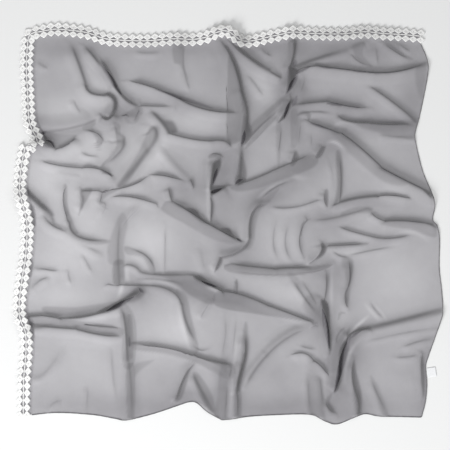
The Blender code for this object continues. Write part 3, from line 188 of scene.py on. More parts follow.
FOLDS = [Fold(*row) for row in (
    # upper left
    (-41.5, 47.5, -39.2, 42, -37.2, 36, 8, 2.5, 1.2, 0.2, 1, 0.4),
    (-37.2, 36, -35.5, 34.2, -31.5, 33.9, 10, 2.5, 1.1, 1, 1, 0.6),
    (-31.5, 33.9, -29.6, 31.8, -30.8, 28.3, 13, 2, 1.5, 1, 0.8, 0.4),
    (-33.3, 28.6, -32, 27.6, -30.8, 28.3, 12, 1.2, 1.1, 0.5, 1, 0.6),
    (-38, 46.8, -35, 43.4, -32.2, 39.6, 9, 2, 0.9, 0.2, 0.8, 0.3),
    (-34, 43.6, -31.5, 39.8, -29.6, 36, 12, 2, 1.1, 0.3, 1, 0.3),
    (-29.6, 36, -27.3, 33, -24.5, 31.2, 11, 1.8, 1, 1, 0.7, 0.3),
    (-24.5, 31.2, -20, 31, -15.2, 31, 6, 1.6, 0.6, 0.9, 0.5, 0.4),
    (-15, 32, -13.9, 31, -14.6, 28.8, 5, 1, 0.7, 0.4, 0.3, 0.3),
    (-26.8, 37.6, -20.5, 36.1, -13, 32.9, 9, 2.2, 0.6, 0.2, 1, 0.7),
    (-13, 32.9, -6, 30.1, 2.5, 29.4, 10, 2.2, 0.7, 1, 0.4, 0.7),
    (-35, 27.8, -40, 25.6, -49.5, 24.7, 6, 3, 2, 0.4, 1, 0.4),
    (-50.5, 26, -48.3, 22.8, -45.4, 20, 14, 2.5, 1.2, 1, 0.5, 0.4),
    (-45.2, 19.7, -42.3, 20.8, -39.5, 23.2, 8, 2, 0.9, 0.8, 0.2, 1.1),
    (-38, 24.8, -34.5, 24, -33, 22, 5, 2.5, 0.8, 0.3, 0.5, 0.6),
    (-39, 19.5, -36.5, 18.1, -33, 18.4, 4, 1.2, 0.8, 0.2, 0.3, 0.3),
    (-27.8, 23, -28.2, 19.3, -33.3, 15.2, 9, 3, 1.6, 0.4, 0.6, 0.6),
    (-29.8, 26, -29.3, 23.5, -29.6, 21, 4, 1.5, 1, 0.3, 0.2, 0.3),
    (-20.7, 26.2, -18.9, 23.5, -21.5, 19, 9, 3, 1.8, 0.3, 1, 0.4),
    (-21.5, 19, -24.8, 14.8, -28.8, 10.3, 10, 3.5, 2.2, 1, 0.8, 0.4),
    (-25.2, 45.3, -21.5, 44.9, -18, 45.2, 3.5, 1.5, 1, 0.2, 0.2, 0.3),
    (-50.3, 42.9, -48.6, 41.8, -47, 40.3, 3, 1.5, 0.8, 0.5, 0.1, 0.6),
    (-40.6, 33, -39.7, 30.6, -38, 28.8, 4, 1.5, 1, 0.2, 0.2, 0.3),
    (-23, 30.8, -24, 28.5, -25.3, 26.3, 6, 2, 1.2, 0.8, 0.2, 0.4),
    (-29, 28.2, -26, 29.2, -23.3, 30.5, 2.5, 1.5, 0.7, 0.2, 0.8, 0.9),
    # upper middle
    (-11.7, 47, -12, 43.5, -12, 40.5, 4, 2.2, 1, 0.9, 0.8, 0.4),
    (-12, 40.5, -11.2, 37.5, -10.2, 34.5, 4, 1.6, 0.9, 0.8, 0.2, 0.3),
    (-21.2, 30.2, -18, 27.2, -15.8, 24, 8, 2, 1.5, 0.3, 1, 0.4),
    (-15.8, 24, -10, 22.5, -5, 22, 8, 2, 0.7, 1, 1, 0.5),
    (-5, 22, -1, 21.8, 0.6, 19.6, 8, 2, 0.8, 1, 0.2, 0.5),
    (-2.4, 48.5, 0.9, 42.5, 3.2, 34.5, 11, 2.6, 1.1, 0.5, 1, 0.5),
    (3.2, 34.5, 4.6, 27.5, 3.1, 21.3, 12, 2.6, 1.1, 1, 0.8, 0.5),
    (3.1, 21.3, 2.9, 16, 2.4, 10.4, 8, 1.4, 1.3, 0.5, 0.8, 0.4),
    (-0.5, 42, -0.4, 33, -0.5, 20, 2, 1.5, 0.8, 0.2, 0.6, 0.6),
    (0.8, 48.3, 4.5, 44, 10, 40.3, 12, 2.2, 1.5, 1, 0.8, 0.4),
    (10, 40.3, 12, 39, 14, 38, 8, 1.6, 0.7, 0.9, 0.1, 0.4),
    (4, 40, 6.7, 36.3, 9, 33, 4, 1.6, 1, 0.2, 0.2, 0.3),
    (8.5, 46.6, 9.4, 45, 11.3, 43.8, 4, 1.5, 0.8, 0.6, 0.1, 0.6),
    (17.1, 48.5, 16.7, 44.5, 15.6, 40.8, 11, 1.6, 0.9, 0.8, 1, 0.4),
    (15.6, 40.8, 16, 37.4, 14.8, 34.2, 12, 1.6, 0.8, 1, 0.3, 0.4),
    (15.9, 32.9, 15, 30, 12.7, 26.7, 12, 1.6, 0.7, 0.5, 0.3, 0.4),
    (13, 30.2, 8, 25.6, 4, 21.5, 10, 2.5, 1.4, 0.5, 0.8, 0.4),
    (11.5, 28, 8, 23.6, 5, 20.5, 4, 1, 0.8, 0.3, 0.5, 0.3),
    # upper right
    (16.3, 40.8, 22, 43, 30, 45.4, 8, 1.6, 1.6, 0.9, 0.5, 0.4),
    (30, 45.4, 33, 47, 35, 48, 5, 1.5, 1.5, 0.5, 0.5, 0.4),
    (16.2, 38.8, 18.6, 40.8, 22.5, 41.4, 10, 2.5, 0.8, 0.2, 1, 0.8),
    (22.5, 41.4, 30, 40.4, 37, 39.6, 11, 2.5, 0.9, 1, 1, 1),
    (37, 39.6, 44, 40, 51.2, 42.3, 11, 2.5, 0.9, 1, 0.5, 1),
    (31.5, 45.2, 33, 43, 36.5, 41.2, 3.5, 1.5, 0.9, 0.2, 0.2, 0.6),
    (38, 46.5, 38.3, 43.8, 38.6, 41, 3, 1.2, 0.8, 0.2, 0.2, 0.3),
    (40, 48, 43, 45.2, 47, 43.2, 5, 1.5, 0.9, 0.7, 0.2, 0.6),
    (43.5, 47.8, 45.3, 46.2, 47, 45, 4, 1.2, 0.8, 0.6, 0.2, 0.3),
    (19.8, 40.5, 19.3, 37, 17.8, 33.5, 5, 1.8, 1, 0.3, 0.4, 0.3),
    (17, 31.3, 21, 31.9, 25.3, 32.2, 8, 1.6, 1.1, 0.5, 1, 0.6),
    (25.3, 32.2, 30.5, 30.9, 36.5, 30.2, 8, 1.6, 0.9, 1, 0.2, 1.1),
    (28, 28.8, 30.5, 27.2, 36, 26.7, 9, 1.4, 0.7, 0.3, 1, 0.5),
    (36, 26.7, 41, 26.3, 47, 26.4, 8, 2.4, 0.7, 1, 0.7, 0.6),
    (38, 24.2, 42, 23.2, 47.5, 23, 4, 1, 1.5, 0.2, 0.8, 0.4),
    (35.5, 36.6, 41, 33, 48.3, 27.2, 8, 1.6, 1.1, 0.3, 0.9, 0.6),
    (19.5, 27, 24, 25.4, 29, 23.6, 9, 2.2, 1, 0.4, 1, 1.2),
    (29, 23.6, 34, 19.7, 39.5, 14.6, 11, 3, 1.2, 1, 1, 1.2),
    (39.5, 14.6, 46, 11.2, 52.3, 8.3, 12, 3, 1.1, 1, 1, 1.2),
    (17.8, 28.7, 21, 29.5, 27.5, 29.1, 5, 1, 0.9, 0.4, 0.3, 0.3),
    (26, 21.9, 28.2, 21.7, 30, 19.4, 4, 1.2, 1, 0.4, 0.2, 0.2),
    (24.6, 20.2, 23.4, 19, 22.2, 17.6, 6, 1.5, 0.9, 0.3, 0.4, 0.2),
    (16.8, 19.5, 16.6, 17.5, 15.6, 15.6, 6, 1.3, 0.9, 0.3, 0.4, 0.2),
    (18.4, 28, 18.2, 24, 17.5, 20, 4, 1, 0.8, 0.4, 0.3, 0.3),
    (21.8, 26, 21.3, 23, 21, 20, 3.5, 1, 0.8, 0.3, 0.3, 0.3),
    (13.5, 26, 13.2, 22, 12.5, 17.5, 4, 1.4, 0.9, 0.2, 0.2, 0.6),
    # left
    (-49.8, 17.1, -44.5, 15.7, -38, 15, 6, 1.8, 0.8, 0.2, 0.9, 0.6),
    (-38, 15, -33.5, 14.5, -29.9, 12.2, 8, 1.8, 0.8, 0.9, 0.6, 1),
    (-46, 14.3, -42, 13.6, -37, 13, 3, 1.2, 0.8, 0.2, 0.2, 0.3),
    (-38.6, 9, -33.5, 9.2, -28.3, 9.7, 6, 1.4, 0.9, 0.8, 1, 0.6),
    (-28.3, 9.7, -25, 10.6, -21.8, 12.3, 7, 1.4, 0.8, 1, 0.5, 1),
    (-38.4, 9, -38.1, 6, -39.2, 2.8, 6, 1, 1.3, 0.8, 0.2, 0.4),
    (-29.5, 9.4, -32.4, 7.9, -33.6, 6, 6, 1.1, 0.8, 0.7, 0.8, 0.6),
    (-33.6, 6, -32.3, 4.6, -34.8, 1, 4, 1.1, 0.9, 0.8, 0.2, 0.3),
    (-31, 7.2, -26, 7.5, -19.2, 5.6, 7, 1.6, 0.7, 0.3, 0.6, 0.9),
    (-53, 9.3, -50, 6.4, -46.4, 2.8, 11, 2.5, 1.3, 1, 0.5, 0.4),
    (-48.2, 4.2, -46.8, 0.8, -43, -1.3, 7, 2, 1, 0.5, 0.8, 0.6),
    (-43, -1.3, -38, -4.6, -32, -8.5, 5, 1.6, 1.6, 0.8, 0.2, 0.4),
    (-42.3, 11, -43.3, 6, -41.5, 0.5, 5, 1.5, 0.9, 0.2, 1, 1.1),
    (-41.5, 0.5, -39, -3, -31.5, -4, 7, 1.8, 1.1, 1, 0.3, 0.6),
    (-27.6, 3.2, -29, -4, -28.7, -15.2, 6, 2.4, 1.3, 0.2, 0.9, 0.3),
    (-30.3, -9.5, -30.4, -12, -30.3, -15, 3, 1, 0.7, 0.2, 0.8, 0.3),
    (-22, 5.5, -26, 2, -28.2, -1.5, 4.5, 1.4, 1.2, 0.2, 0.6, 0.4),
    (-31.4, -4, -31.5, -6.2, -31.4, -8.6, 3, 0.8, 0.5, 0.3, 0.3, 0.3),
    (-38.6, -7, -37, -10, -35.4, -13, 3, 1.2, 0.8, 0.2, 0.2, 0.3),
    (-51, -10.7, -47.5, -11.4, -44, -11.9, 4.5, 1.4, 0.9, 0.7, 0.2, 0.6),
    (-51.6, -16.3, -49.5, -14.4, -46.3, -13.2, 5, 1.6, 1, 0.8, 0.2, 0.3),
    (-41.9, -11.3, -41.8, -13.4, -41, -15.6, 3.5, 1.1, 0.8, 0.2, 0.2, 0.3),
    (-27, -10.3, -25, -10.6, -23.3, -12, 6, 1.2, 0.8, 0.8, 0.9, 0.3),
    (-23.3, -12, -19, -12.8, -9.4, -12.8, 5, 1.4, 0.7, 1, 0.6, 0.3),
    (-26.5, -6, -21.5, -8, -19.6, -12, 5, 1.6, 0.9, 0.2, 0.4, 0.6),
    (-31.6, -15.2, -27, -15.4, -20, -15.6, 5, 1.4, 0.8, 0.8, 0.9, 0.6),
    (-20, -15.6, -14.8, -17.2, -12.3, -20.8, 6, 1.5, 1, 0.9, 1, 0.6),
    (-12.3, -20.8, -11.2, -25.5, -8.6, -31, 7, 1.6, 1.2, 1, 0.3, 0.4),
    (-24, -13.9, -18, -14, -13, -15.2, 5, 1.2, 0.8, 0.4, 0.4, 0.3),
    # centre
    (-20.8, 12.9, -17, 12.9, -11.8, 11.4, 7, 1.6, 0.8, 0.4, 0.5, 1),
    (-18.3, 21, -15, 16.8, -10.3, 12.1, 5, 1.2, 2, 0.3, 0.8, 0.4),
    (-10.4, 12.2, -9.7, 11, -9.4, 9.8, 8, 1, 0.8, 0.4, 0.6, 0.6),
    (-15.8, 9.9, -15.4, 8, -14.9, 6.2, 8, 1.2, 0.8, 0.3, 0.8, 0.6),
    (-15.1, 6.2, -10.5, 3.7, -6.3, 0.9, 11, 2.2, 0.8, 0.6, 1, 0.9),
    (-6.3, 0.9, -1.8, -1.6, 3.3, -4.4, 11, 2.2, 0.8, 1, 0.3, 0.9),
    (-5.6, 18, -4, 18.8, -2, 18, 3, 1, 0.8, 0.4, 0.8, 0.6),
    (-3.6, 17, -4.2, 13.5, -4.9, 9.5, 12, 1.4, 1, 0.3, 0.9, 0.4),
    (-4.8, 9.5, -4.6, 5, -5, 0.6, 10, 1.6, 0.8, 0.9, 0.6, 0.4),
    (-5, 8, -3, 9, -0.8, 10.3, 11, 2, 1, 0.9, 0.5, 0.6),
    (-0.8, 10.3, 5, 11.7, 11, 14.3, 6, 3, 0.8, 0.4, 1, 0.6),
    (11, 14.3, 15.5, 16.2, 21.5, 18.7, 6, 3, 0.8, 1, 0.2, 0.6),
    (8.2, 6.4, 11, 9.4, 16.5, 11.8, 5, 1.2, 0.8, 0.5, 0.3, 0.3),
    (9.5, 5.3, 6, 3.2, 5.2, -3.2, 10, 1.4, 1, 0.4, 1, 0.4),
    (5.2, -3.2, 3, -6.6, -2, -8.4, 8, 1.4, 0.9, 0.9, 0.9, 0.3),
    (-2.2, -8.5, -3, -10.3, -4, -12.3, 7, 1.2, 0.7, 0.9, 0.2, 0.3),
    (0.3, -10, 6, -10.6, 12, -11.2, 7, 1.8, 0.8, 0.5, 1, 0.6),
    (12, -11.2, 16, -10.9, 20.5, -10.9, 8, 1.8, 0.9, 1, 0.6, 0.6),
    (12, -13.3, 6, -12.9, 0, -12, 6, 1.2, 0.6, 1, 0.4, 0.3),
    (27, -10.3, 21, -12.4, 12, -13.3, 6, 1.2, 0.6, 0.5, 1, 0.3),
    (-16.7, 0.3, -16.8, -6, -16.9, -12.4, 3, 0.8, 0.6, 0.2, 0.8, 0.3),
    (-9.6, -13, -6, -14.9, -2, -17, 10, 2, 0.7, 0.5, 0.9, 0.8),
    (-2, -17.1, 3, -17.9, 10, -20.7, 6, 1.6, 0.6, 0.9, 1, 0.6),
    (10, -20.7, 16, -22.9, 22.3, -25.4, 6, 1.6, 0.6, 1, 0.8, 0.6),
    (12.5, 2, 11.3, -4, 12.6, -9, 4, 1.2, 0.9, 0.2, 0.3, 0.3),
    (15.6, 1, 14.4, -4.8, 16.2, -9.6, 4.5, 1.2, 0.9, 0.2, 0.3, 0.3),
    (20, 1, 18.2, -3.5, 19.3, -8.5, 6, 1.2, 0.9, 0.8, 0.5, 0.6),
    (-7.6, -5.5, -7.2, -9, -6, -12.5, 3, 1.5, 1.5, 0.2, 0.2, 0.4),
    (1.7, -14.2, 1.9, -16, 1.7, -17.4, 4, 0.9, 0.6, 0.3, 0.6, 0.2),
    (10.3, 4.9, 14.5, 4.5, 19, 5.2, 4, 1.2, 0.6, 0.2, 0.9, 0.3),
    (19, 5.2, 22, 6.2, 24.5, 7.2, 4, 1.2, 0.7, 0.9, 0.3, 0.3),
    # right
    (28.4, 18.5, 29, 12, 28.6, 5.8, 6, 2.4, 1, 0.3, 0.8, 0.6),
    (25.6, 17.5, 26.9, 12, 26.9, 6, 4, 1, 0.8, 0.2, 0.3, 0.3),
    (27, 5.4, 32, 6.9, 38, 7.6, 9, 1.6, 1.2, 0.8, 1, 0.4),
    (38, 7.6, 43, 7.7, 48.5, 6.5, 8, 1.5, 0.8, 1, 0.2, 1),
    (24.7, 8.5, 24.7, 6.6, 25.3, 4.8, 6, 1, 0.7, 0.3, 0.4, 0.6),
    (20.8, 1.2, 27.5, 2, 35.5, 4.3, 5, 1.6, 1.1, 0.3, 0.8, 0.3),
    (36.5, 3.8, 38, 2.2, 40.5, 1.2, 7, 1.4, 0.8, 0.2, 1, 0.6),
    (40.5, 1.2, 46, 1.2, 52.6, 0.4, 10, 2, 0.8, 1, 0.8, 0.8),
    (28, -0.2, 32, -1.6, 37.5, -3, 6, 1.4, 0.5, 0.2, 1, 0.4),
    (37.5, -3, 42, -3.3, 47.5, -2.3, 6, 1.4, 0.6, 1, 0.2, 0.4),
    (25.5, -5.3, 30, -5, 35.3, -4.8, 6, 1.2, 0.7, 0.8, 0.3, 0.6),
    (30, -8, 36, -6.7, 43.5, -5.3, 4, 1.2, 0.8, 0.2, 0.2, 0.3),
    (26.5, -6.4, 28.5, -7.9, 31, -8.3, 4, 1, 0.7, 0.6, 0.3, 0.3),
    (24, -4.6, 24.1, -6.4, 23.2, -8, 9, 1.2, 0.9, 0.4, 0.8, 0.6),
    (23.2, -8, 21.8, -9.4, 20, -10.4, 7, 1.2, 0.8, 0.8, 0.3, 0.6),
    (30.6, -9, 31.2, -13, 30.3, -17, 7, 1.5, 0.9, 0.3, 0.9, 1.1),
    (30.3, -17, 30.1, -19.5, 30.9, -21.8, 7, 1.2, 0.8, 0.9, 0.3, 0.6),
    (25, -12, 25.2, -16, 24.4, -20.5, 7, 1.3, 0.8, 0.4, 0.9, 0.6),
    (24, -19, 25.5, -26, 25.9, -33.5, 13, 1.6, 0.9, 0.5, 0.4, 0.4),
    (16, -14, 19, -18.3, 22.5, -23, 5, 1.2, 0.9, 0.2, 0.4, 0.3),
    (18.3, -14, 21, -18, 23.6, -22.3, 4, 1, 0.8, 0.2, 0.4, 0.3),
    # lower left
    (-53, -23.1, -48.5, -23.3, -44, -24.1, 8, 1.6, 0.6, 1, 1, 0.6),
    (-44, -24.1, -36, -23.2, -30, -21, 10, 2, 1, 0.7, 1, 0.6),
    (-30, -21, -26.5, -18.7, -22.8, -16.6, 11, 2.2, 1.5, 1, 0.4, 0.6),
    (-43.5, -24.2, -37, -25.6, -28.3, -26.6, 5, 1.3, 0.7, 0.6, 0.6, 0.6),
    (-52.6, -25.6, -46, -26.3, -40, -26.7, 8, 2, 1.1, 1, 1, 0.7),
    (-40, -26.7, -34, -28.2, -28.5, -28.7, 8, 1.6, 1.1, 1, 0.6, 0.7),
    (-28, -21, -27, -27, -26.6, -35, 9, 1.6, 1, 0.6, 0.8, 0.3),
    (-26.4, -34, -25.6, -42, -25.4, -50.4, 5, 1.6, 1.4, 0.9, 0.7, 0.5),
    (-51.2, -39.5, -47.5, -37.8, -43, -31, 5, 1.5, 1.5, 0.7, 0.1, 0.2),
    (-47.5, -48.2, -46, -46.3, -43.5, -45.4, 3, 1.2, 0.8, 0.5, 0.1, 0.3),
    (-37, -41.5, -37, -45, -37.4, -48.6, 3, 1.2, 0.9, 0.1, 0.6, 0.3),
    (-30.8, -31, -30.4, -38, -29.3, -46, 3, 1.8, 1, 0.3, 0.2, 0.3),
    # lower middle
    (-25.2, -30.6, -17, -31.2, -9, -33.4, 7, 2.4, 1.1, 0.6, 1, 0.8),
    (-9, -33.4, -4.5, -35, 0.5, -36.3, 8, 2.4, 1.2, 1, 0.6, 0.8),
    (0, -39.8, -6, -36.8, -12, -34.4, 6, 1.4, 1, 0.5, 1, 0.6),
    (-12, -34.4, -18, -33, -24.8, -32.4, 6, 1.4, 1, 1, 0.6, 0.6),
    (0.5, -36.5, 0.3, -38.3, -0.5, -40.3, 7, 1.2, 0.8, 0.6, 0.4, 0.3),
    (-8.5, -35.8, -11.3, -38.8, -13.7, -45, 8, 1.6, 0.9, 0.5, 0.9, 0.4),
    (-9.6, -38.5, -8, -42, -4.6, -48.3, 7, 1.4, 1.4, 0.3, 0.9, 0.3),
    (3.9, -28, 4.2, -33, 3.3, -37, 9, 2, 1, 0.2, 1, 0.6),
    (3.3, -37, 2.4, -40, 2, -43, 12, 1.8, 1, 1, 0.8, 0.6),
    (2, -43, 2.2, -46.5, 2.4, -49.9, 6, 2, 0.9, 0.8, 0.9, 0.6),
    (-0.4, -41, -0.9, -45.5, -1.1, -50.3, 4, 1, 0.8, 0.3, 0.9, 0.3),
    (20, -27, 14.5, -29.6, 9.5, -34, 8, 1.2, 1.5, 0.5, 1, 0.4),
    (9.5, -34, 6.5, -37.7, 4, -42, 8, 1.2, 1.6, 1, 0.5, 0.4),
    (-5, -20.3, -6.7, -22.5, -7.8, -25, 5, 1.2, 1.2, 0.6, 0.2, 0.4),
    (-1.3, -23, -1.2, -29, -2.5, -35.5, 3.5, 1.5, 1, 0.2, 0.4, 0.3),
    (1.7, -24, 1.2, -30, 0.9, -36, 3, 0.8, 0.8, 0.2, 0.4, 0.3),
    (-10.3, -29.5, -8, -32.3, -5, -31.6, 3.5, 1.2, 0.8, 0.3, 0.2, 0.3),
    # lower right
    (22.8, -25.3, 22.6, -26.5, 20, -27.2, 6, 1, 0.7, 0.5, 0.4, 0.6),
    (15, -34.2, 19, -33, 22, -35.3, 6, 1.4, 0.8, 0.2, 1, 0.6),
    (22, -35.3, 24, -37, 25.8, -39.5, 7, 1.4, 0.9, 1, 0.4, 1.1),
    (17.8, -31.2, 20, -31.8, 22.5, -32.2, 3.5, 1, 0.8, 0.2, 0.2, 0.3),
    (25, -45.8, 25.8, -47.5, 27.6, -48.9, 7, 1.2, 0.9, 0.4, 0.4, 0.6),
    (30.6, -29.3, 29, -33.5, 28.5, -38, 14, 1.8, 1, 0.9, 1, 0.4),
    (28.5, -38, 28.2, -41, 27.2, -43.8, 12, 1.6, 0.8, 1, 0.2, 0.4),
    (30.2, -29.3, 32.3, -27.5, 36, -26.7, 11, 2.2, 1, 0.9, 0.9, 0.6),
    (36, -26.7, 44, -24.8, 54.8, -22, 8, 3, 1.6, 0.9, 0.8, 0.4),
    (34, -30.5, 42, -28.4, 53.2, -26.6, 5, 1.3, 1.2, 0.3, 0.5, 0.3),
    (44, -32, 48, -30.5, 52.6, -29.3, 4, 1.3, 0.9, 0.2, 0.6, 0.3),
    (42, -34.2, 46, -34.2, 49.3, -33.4, 3.5, 1.2, 0.9, 0.2, 0.3, 0.3),
    (32.2, -34.8, 31.9, -39.5, 33, -44, 8, 1.4, 0.8, 0.3, 1, 0.4),
    (33, -44, 33.6, -46.5, 33.7, -49.2, 8, 1.5, 1, 1, 0.9, 0.6),
    (36.5, -40, 38.5, -44.2, 40.7, -49, 4.5, 1.8, 1.2, 0.2, 0.7, 0.4),
    (20.3, -39, 20.5, -44, 21, -48.8, 4, 1.2, 1, 0.2, 0.7, 0.3),
    (23.2, -38.5, 23.8, -43, 24.6, -49.5, 5, 1.2, 1.4, 0.3, 0.8, 0.4),
    (29.8, -26.9, 28, -28.8, 27.6, -31.5, 5, 1, 0.8, 0.3, 0.3, 0.2),
    (36.3, -19.8, 38, -22.3, 40.3, -24.5, 3, 1, 0.7, 0.2, 0.3, 0.3),
    (50.2, -33.6, 50.1, -38, 50.5, -44.5, 6, 1.5, 0.5, 0.6, 0.6, 0.6),
)]

# Broad soft areas of painted light and shade: painted lighter where the cloth tilts to the light or lies
# close on the pale floor, and painted darker where it stands off the floor: middle and reach in cm, turn
# in degrees anticlockwise, and tone, where -1 is about the darkest and 1 the lightest.
Patch = namedtuple("Patch", "x y reach_x reach_y turn tone")

LIGHT_AND_SHADE_PATCHES = [Patch(*row) for row in (
    (-43, -8, 9, 8, 0, 0.9), (-49, 11, 6, 7, 0, 1), (-36, 19, 11, 4, 0, 0.9), (-44, -19, 10, 3, 0, 0.6),
    (-44, 30, 6, 3.5, 0, 0.7), (-36, 1, 5, 4, -45, 0.6), (-38, 40, 5, 9, 20, 0.2),
    (-33, 35, 6, 4, 0, 0.8), (-21, -4, 7, 6, -20, 1), (-21, 18, 5, 4, 0, 1), (-8, 27, 7, 3, -10, 0.6),
    (-12, 36, 5, 2.5, -15, 0.1), (-15, -28, 8, 6, 0, 0.7), (-38, -34, 9, 7, 0, 0.4),
    (9, 35, 3, 5, 20, 0.6), (4, 40, 3, 7, 0, -0.1), (15, -18, 8, 2.5, -10, 0.5), (10, -37, 5, 7, 0, 0),
    (28, -25, 3, 3, 0, 0.5), (36, 20, 6, 3, -45, 0.3), (13, -3, 4, 4, 0, 0.4), (43, -14, 9, 8, 0, 0.6),
    (33, 1, 7, 4, 0, 0.2), (44, 9, 6, 3, 0, 0.5), (44, -36, 8, 8, 0, -0.1), (-40, 7, 6, 5, 0, 0.5),
    (-26, 12, 4, 5, 0, 0.5), (28, 20, 4, 4, 0, -0.4), (52, -40, 4, 10, 0, -0.8),
    (-24, -18, 3, 3, 0, -0.7), (36, 5.5, 8, 1.5, 0, -0.6), (-32, 39, 3, 3, 0, -0.4),
    (27, -38, 3, 6, 0, -0.5), (-20, 23, 4, 4, 0, 0.5), (40, -4, 5, 1.8, 8, -0.6),
    (30, -18, 3, 6, 0, -0.3), (0, -5.5, 4, 2, 0, -0.6), (-12, 31, 7, 2.5, -10, -0.5),
    (-14, -42, 6, 6, 0, -0.3), (16, 36, 4, 3, 0, -0.4), (-2, 41, 4, 5, 0, -0.4), (12, -39, 4, 4, 0, -0.3),
    (20, 46, 30, 3, 0, -0.6), (-42, 46, 9, 3, 0, -0.6), (-10, 46, 10, 3, 0, -0.2),
    (36, 45, 10, 3, 0, -0.3), (-52, 25, 3, 3, 0, -0.6), (-27, 29, 5, 3, 20, -0.8),
    (-48, 21.5, 5, 2.5, 10, -0.8), (-1, 14, 5, 12, 0, -0.8), (-12, 10, 5, 3, -20, -0.7),
    (10, 8, 6, 3.5, 25, -1), (19, 15, 6, 4, 30, -0.7), (25, 22, 6, 4, 0, -0.6), (40, 26, 9, 2.5, 0, -1),
    (29, 31, 8, 4, 0, -0.6), (16, 32, 5, 9, 0, -0.9), (48, 33, 4, 8, 0, -0.6), (3, -9, 4, 3, 0, -0.5),
    (-12, -16, 12, 3, -8, -1), (0, -19, 7, 2.5, -8, -0.7), (10, -23, 7, 1.6, -20, -0.2),
    (26, -12, 6, 4, 0, -0.6), (23, -23, 4, 6, 0, -0.7), (26, 1, 7, 4, 0, -0.6),
    (-26, -42, 2.5, 9, 0, -0.5), (0, -48, 52, 4, 0, -0.8), (-10, -46, 4, 3, 0, -0.8),
    (-1, -42, 3, 8, 0, -1.2), (20, -42, 8, 6, 0, -0.2), (30, -46, 5, 5, 0, -0.6),
    (30, -33, 5, 6, 0, -1.1),
)]

# Painted shadow where the lace lies in shadow: as above, with how much darker it is, from 0 to 1, as the
# tone.
LACE_SHADES = [Patch(*row) for row in (
    (-12.3, 48.3, 3.2, 3, 0, 0.22), (3.2, 48.8, 2.4, 3, 0, 0.5), (32, 50, 20, 3, 0, 0.32),
    (32, 52.6, 22, 1.6, 0, 0.15), (-22, 47, 9, 1.2, 0, 0.2), (-2, 52.4, 4, 1.5, 0, 0.4),
    (-30, 50.6, 22, 1.5, 0, 0.25), (-49.6, 22.4, 2.2, 3, 0, 0.36), (-50.6, 24.6, 1, 1.6, 0, 0.25),
    (-50.9, 4, 1.3, 4.5, 0, 0.3), (-51, -11, 1.3, 3, 0, 0.22), (-51.2, -27, 1.5, 3.5, 0, 0.35),
)]

# Where the cloth lies double it is darker, and where it turns down steeply it has painted shade, with
# crisp edges: how much darker, how far in from the outline it takes to get there in cm, and places on the
# area's outline in cm.
DoubledAndShaded = namedtuple("DoubledAndShaded", "shade soft outline")

